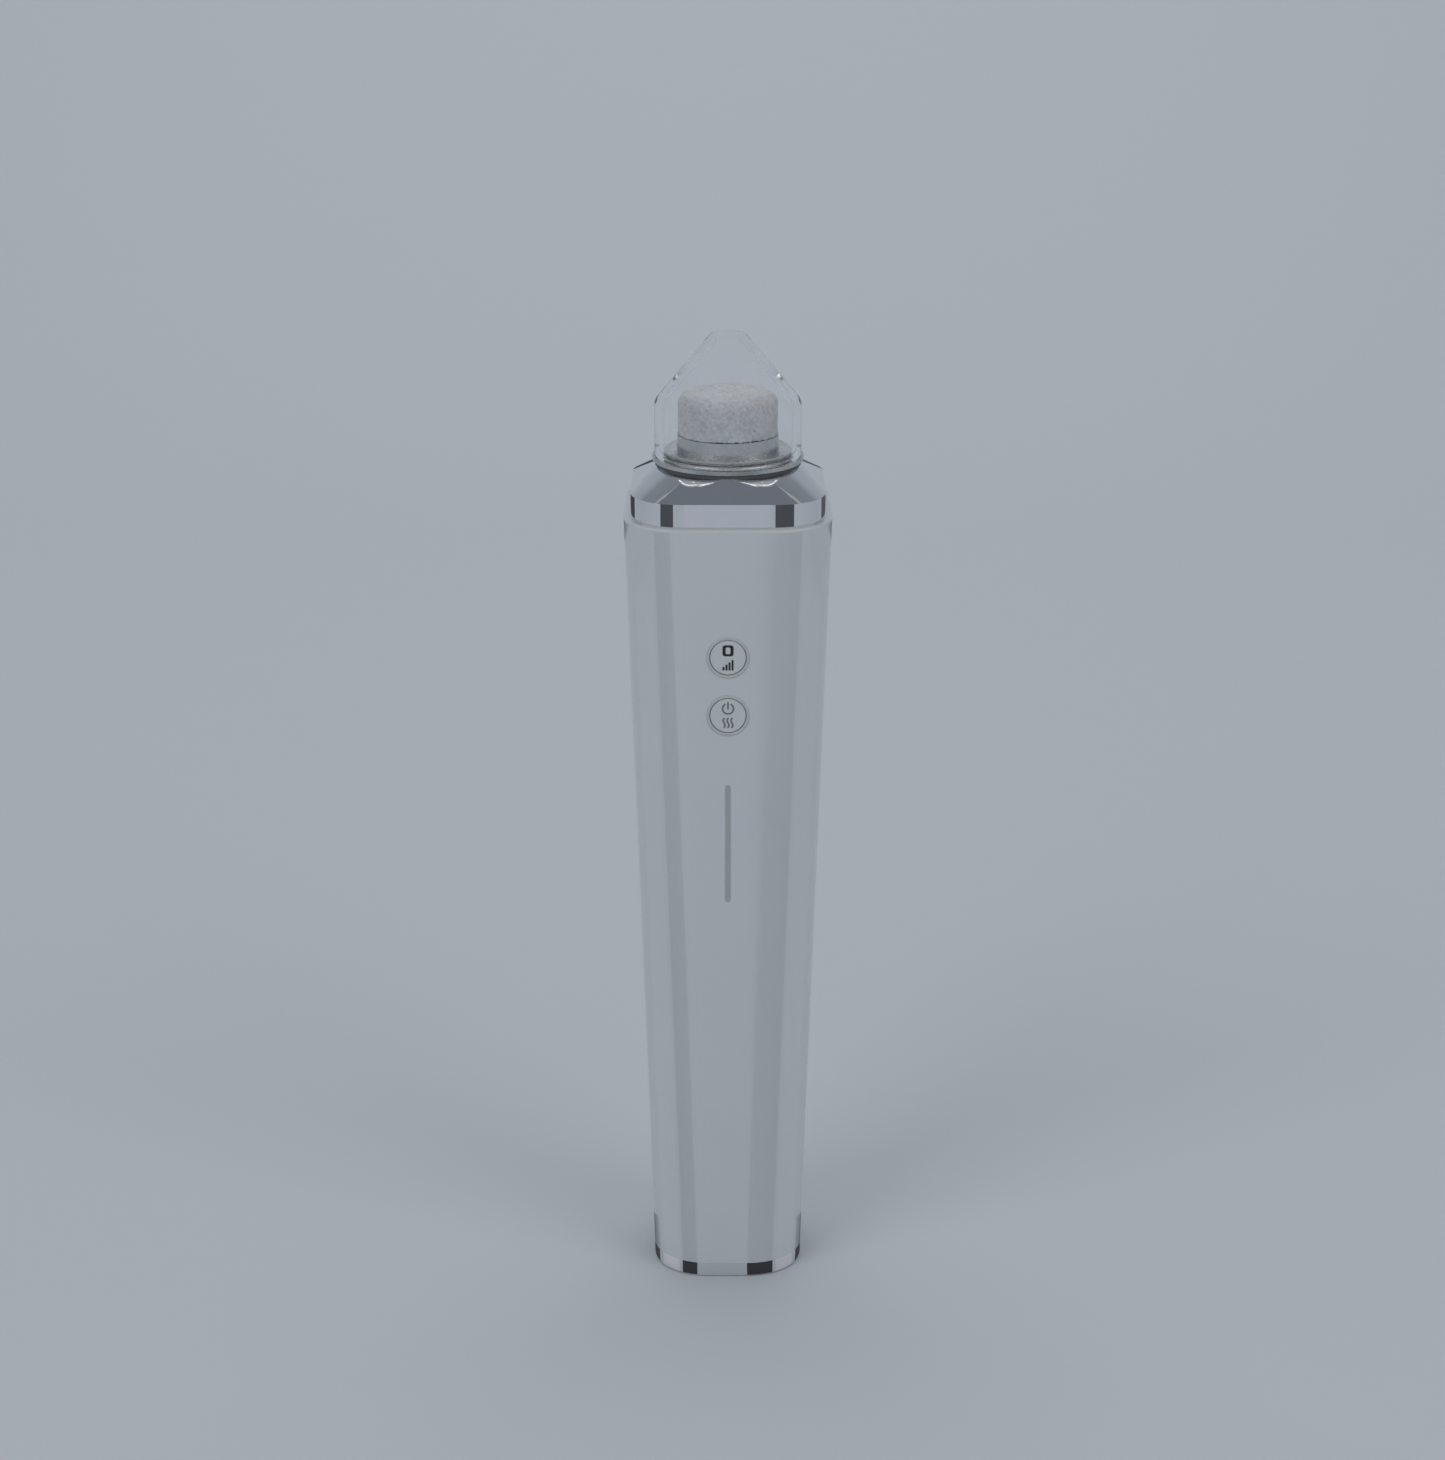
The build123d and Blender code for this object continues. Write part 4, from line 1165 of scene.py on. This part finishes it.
@dataclass
class MirrorBand:
    """A strip that the bright corners mirror, laid out from where the mirrored rays leave a corner.

    Attributes:
        name: The strip's name.
        side: 1 for the corner at +X, -1 for the one at -X.
        turn: First and last direction of the corner's own surface, in degrees from the front.
        corner: How far the corner's centre stands from the middle, each way.
        radius: The corner's radius.
        reach: How far out the strip stands.
        low: Its lower edge. At zero the strip is also carried back along the floor.
        high: Its upper edge. At zero the strip only lies on the floor.
        tone: How pale it is.
        glow: How strongly it shines by itself.
        steps: How many rays it is ruled through.
    """

    name: str
    side: int
    turn: Point2
    corner: float
    radius: float
    reach: float
    low: float
    high: float
    tone: float = 0.06
    glow: float = 0.0
    steps: int = 28

    def spots(self, turn: float) -> list[Vector]:
        """The strip's section along one mirrored ray.

        Args:
            turn: The corner's direction there, in radians.

        Returns:
            Its points, from the handle outwards and up.
        """
        across = Vector((self.side * math.sin(turn), -math.cos(turn), 0.0))
        start = Vector((self.side * self.corner, -self.corner, 0.0)) + across * (self.radius + CORNER_GAP)
        away = Vector((self.side * math.sin(2 * turn), -math.cos(2 * turn), 0.0))
        foot = start + away * self.reach
        low = foot + Vector((0.0, 0.0, max(self.low, FLOOR_GAP)))
        points = [low, foot + Vector((0.0, 0.0, self.high))]
        if self.low == 0.0:
            points.insert(0, start + Vector((0.0, 0.0, FLOOR_GAP)))
        if self.high == 0.0:
            points.pop()
        return points

    def mesh(self) -> Mesh:
        """The strip, ruled from ray to ray.

        Returns:
            Its mesh.
        """
        made = bmesh.new()
        first, last = (math.radians(t) for t in self.turn)
        turns = [first + (last - first) * i / self.steps for i in range(self.steps + 1)]
        skin(made, [[made.verts.new(p) for p in self.spots(t)] for t in turns])
        return made


# Where the strips for each bright face stand: how far the corner's centre is from the middle, the corner's
# radius, the strip's reach, and its lower and upper edge.
FOOT_FACE = (4.1 * MM, 11.5 * MM, 0.45, 0.0, 0.016)
FOOT_SIDE = (4.1 * MM, 11.5 * MM, 0.02, 0.0, 0.0)
COLLAR_FACE = (9.3 * MM, 10.1 * MM, 0.16, 0.117, 0.134)
COLLAR_BEVEL = (9.3 * MM, 10.1 * MM, 0.16, 0.136, 0.178)
BANDS = [
    MirrorBand("right_body_band", 1, (0.6, 29.0), *FOOT_FACE, 0.07),
    MirrorBand("left_body_band", -1, (12.0, 29.0), *FOOT_FACE, 0.07),
    MirrorBand("right_side_panel", 1, (33.0, 58.0), *FOOT_FACE, 0.72, 0.03),
    MirrorBand("left_side_panel", -1, (33.0, 58.0), *FOOT_FACE, 0.72, 0.06),
    MirrorBand("right_collar_band", 1, (0.5, 22.0), *COLLAR_FACE, 0.17),
    MirrorBand("left_collar_band", -1, (9.0, 24.0), *COLLAR_FACE, 0.17),
    MirrorBand("right_collar_edge", 1, (66.0, 90.0), *COLLAR_FACE, 0.20),
    MirrorBand("right_bevel_edge", 1, (86.5, 90.0), *COLLAR_BEVEL, 0.20),
    MirrorBand("left_collar_edge", -1, (66.0, 90.0), *COLLAR_FACE, 0.12),
    MirrorBand("left_bevel_edge", -1, (86.0, 90.0), *COLLAR_BEVEL, 0.12),
    MirrorBand("right_foot_edge", 1, (66.0, 90.0), *FOOT_SIDE, 0.12),
    MirrorBand("left_foot_edge", -1, (66.0, 90.0), *FOOT_SIDE, 0.12),
]


@dataclass(frozen=True)
class Softbox:
    """A square soft light, which shows in no reflection.

    Attributes:
        name: Its name.
        place: Where it hangs.
        size: The length of a side.
        power: Its power in watts.
        target: What it points at; None for the middle of the object.
    """

    name: str
    place: Point3
    size: float
    power: float
    target: Point3 | None = None

    def hang(self, middle: Vector) -> None:
        """Put the light in the scene.

        Args:
            middle: The middle of the object.
        """
        data = bpy.data.lights.new(self.name, "AREA")
        data.shape = "SQUARE"
        data.size = self.size
        data.energy = self.power
        data.color = LIGHT_COLOUR
        lamp = bpy.data.objects.new(self.name, data)
        bpy.context.scene.collection.objects.link(lamp)
        lamp.visible_glossy = False
        place = Vector(self.place)
        target = middle if self.target is None else Vector(self.target)
        lamp.location = place
        lamp.rotation_mode = "QUATERNION"
        lamp.rotation_quaternion = (target - place).to_track_quat("-Z", "Y")


LIGHT_COLOUR = (0.96, 0.98, 1.0)
AIR_COLOUR = (0.93, 0.965, 1.0, 1.0)
AIR_STRENGTH = 0.36
PAPER_COLOUR = (0.625, 0.66, 0.705)
SOFTBOXES = [
    Softbox("key_softbox", (-0.75, -0.85, 1.05), 0.7, 3.4),
    Softbox("fill_softbox", (0.85, -0.75, 0.95), 0.7, 2.4),
    Softbox("back_softbox", (0.0, 0.75, 1.4), 1.2, 5.0, (0.0, 1.1, 0.0)),
]


@dataclass
class Studio:
    """The pale sweep, the soft lights, the strips and cards that the bright parts mirror, and the camera.

    Attributes:
        elevation: The camera's height above the horizon, in degrees.
        distance: From the camera to the aim.
        view_height: How much height the picture shows at the aim.
        aim_right: How far right of the handle's middle the camera aims.
        aim_above: How far above the object's middle it aims.
        sweep_side: The sweep's half width, and how far it runs forward.
        sweep_back: How far behind the handle the sweep's wall stands.
        sweep_top: The height of the wall.
        sweep_bend: The radius of the curve between floor and wall.
        overhead_side: Half the overhead card's width.
        overhead_front: The card's front edge.
        overhead_back: Its back edge.
        overhead_rise: How far above the object it hangs.
    """

    elevation: float = 18.0
    distance: float = 0.70
    view_height: float = 0.3035
    aim_right: float = -1.1 * MM
    aim_above: float = 16.3 * MM
    sweep_side: float = 12.0
    sweep_back: float = 1.6
    sweep_top: float = 2.6
    sweep_bend: float = 1.0
    overhead_side: float = 0.105
    overhead_front: float = -0.12
    overhead_back: float = 0.175
    overhead_rise: float = 0.25

    def plain(self, name: str, colour: Colour, rough: float, glow: float = 0.0) -> bpy.types.Material:
        """A plain stage material.

        Args:
            name: Its name.
            colour: Its colour.
            rough: Its roughness.
            glow: How strongly it shines by itself.

        Returns:
            The material.
        """
        shader = Shader(name)
        shader.set_inputs({"Base Color": (*colour, 1.0), "Roughness": rough, "Specular IOR Level": 0.1})
        shader.set_inputs({"Emission Color": (*colour, 1.0), "Emission Strength": glow})
        return shader.material

    def sweep(self) -> None:
        """Lay the floor and carry it up behind in one curve."""
        half, back, radius = self.sweep_side, self.sweep_back, self.sweep_bend
        bend = arc((back - radius, radius), radius, -90, 0, 24)
        section = [(-half, 0.0), *bend, (back, self.sweep_top)]
        mesh = bmesh.new()
        skin(mesh, [[mesh.verts.new((x, y, z)) for x in (-half, half)] for y, z in section])
        floor = add_piece("studio_sweep", mesh, 60)
        floor.data.materials.append(self.plain("sweep_paper", PAPER_COLOUR, 0.9))
        floor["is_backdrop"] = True

    def hang(self, name: str, mesh: Mesh, tone: float, glow: float = 0.0) -> None:
        """Put up a strip that shows only in reflections.

        Args:
            name: Its name.
            mesh: Its shape.
            tone: How pale it is.
            glow: How strongly it shines by itself.
        """
        piece = add_piece(name, mesh)
        piece.data.materials.append(self.plain(f"{name}_felt", (tone, tone, tone * 1.05), 1.0, glow))
        for ray in ("camera", "diffuse", "transmission", "volume_scatter", "shadow"):
            setattr(piece, f"visible_{ray}", False)
        piece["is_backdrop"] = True

    def hang_card(self, name: str, corners: Sequence[Point3], tone: float, glow: float = 0.0) -> None:
        """Put up a flat card with these corners, as a strip that shows only in reflections."""
        mesh = bmesh.new()
        mesh.faces.new([mesh.verts.new(corner) for corner in corners])
        self.hang(name, mesh, tone, glow)

    def canopy(self, middle: Vector, high: Vector) -> None:
        """Hang a grey card over the head, for the collar's front slope to mirror.

        Args:
            middle: The middle of the object.
            high: Its highest corner.
        """
        left, right = middle.x - self.overhead_side, middle.x + self.overhead_side
        front, back = middle.y + self.overhead_front, middle.y + self.overhead_back
        level = high.z + self.overhead_rise
        corners = [(left, front, level), (right, front, level), (right, back, level), (left, back, level)]
        self.hang_card("overhead_card", corners, tone=0.44)

    def front_card(self) -> None:
        """Hang a pale card in front, for the collar's flat face to mirror."""
        half, low, high, ahead = 0.0105, 0.112, 0.140, -0.18
        corners = [(-half, ahead, low), (half, ahead, low), (half, ahead, high), (-half, ahead, high)]
        self.hang_card("collar_front_card", corners, tone=0.85, glow=0.08)

    def lights(self, middle: Vector) -> None:
        """Hang the soft lights and fill the room with even light.

        Args:
            middle: The middle of the object.
        """
        world = bpy.data.worlds.new("studio_air")
        world.use_nodes = True
        air = world.node_tree.nodes["Background"]
        air.inputs["Color"].default_value = AIR_COLOUR
        air.inputs["Strength"].default_value = AIR_STRENGTH
        bpy.context.scene.world = world
        for box in SOFTBOXES:
            box.hang(middle)

    def camera(self, middle: Vector) -> None:
        """Stand the camera in front, a little above the horizon.

        Args:
            middle: The middle of the object.
        """
        data = bpy.data.cameras.new("front_camera")
        data.sensor_width = 36.0
        data.lens = data.sensor_width * self.distance / self.view_height
        data.clip_start = 0.05
        data.clip_end = 20.0
        camera = bpy.data.objects.new("front_camera", data)
        bpy.context.scene.collection.objects.link(camera)
        slope = math.radians(self.elevation)
        back = Vector((0.0, -math.cos(slope), math.sin(slope)))
        up = Vector((0.0, math.sin(slope), math.cos(slope)))
        aim = middle + Vector((self.aim_right, 0.0, 0.0)) + up * self.aim_above
        camera.location = aim + back * self.distance
        camera.rotation_mode = "QUATERNION"
        camera.rotation_quaternion = (-back).to_track_quat("-Z", "Y")
        bpy.context.scene.camera = camera

    def build(self, low: Vector, high: Vector) -> None:
        """Set up the whole studio.

        Args:
            low: The object's lowest corner.
            high: Its highest corner.
        """
        middle = (low + high) / 2
        self.sweep()
        for band in BANDS:
            self.hang(band.name, band.mesh(), band.tone, band.glow)
        self.canopy(middle, high)
        self.front_card()
        self.lights(middle)
        self.camera(middle)
        bpy.context.scene.view_settings.view_transform = "Standard"
        LOG.info("set up the studio")


def main() -> None:
    """Build the looks, sub-assembly by sub-assembly."""
    logging.basicConfig(level=logging.INFO, format="%(message)s")
    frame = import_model()
    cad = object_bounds()
    book = FinishBook(frame["nodes"])
    for part in (Handle(book), Foot(book), Head(book), Electronics(book), Drive(book)):
        part.dress()
    ClearProbe(book).build()
    FilterSponge(book).build()
    buttons = Buttons(book, frame["joints"])
    buttons.dress()
    buttons.build()
    Studio().build(*cad)


if __name__ == "__main__":
    main()
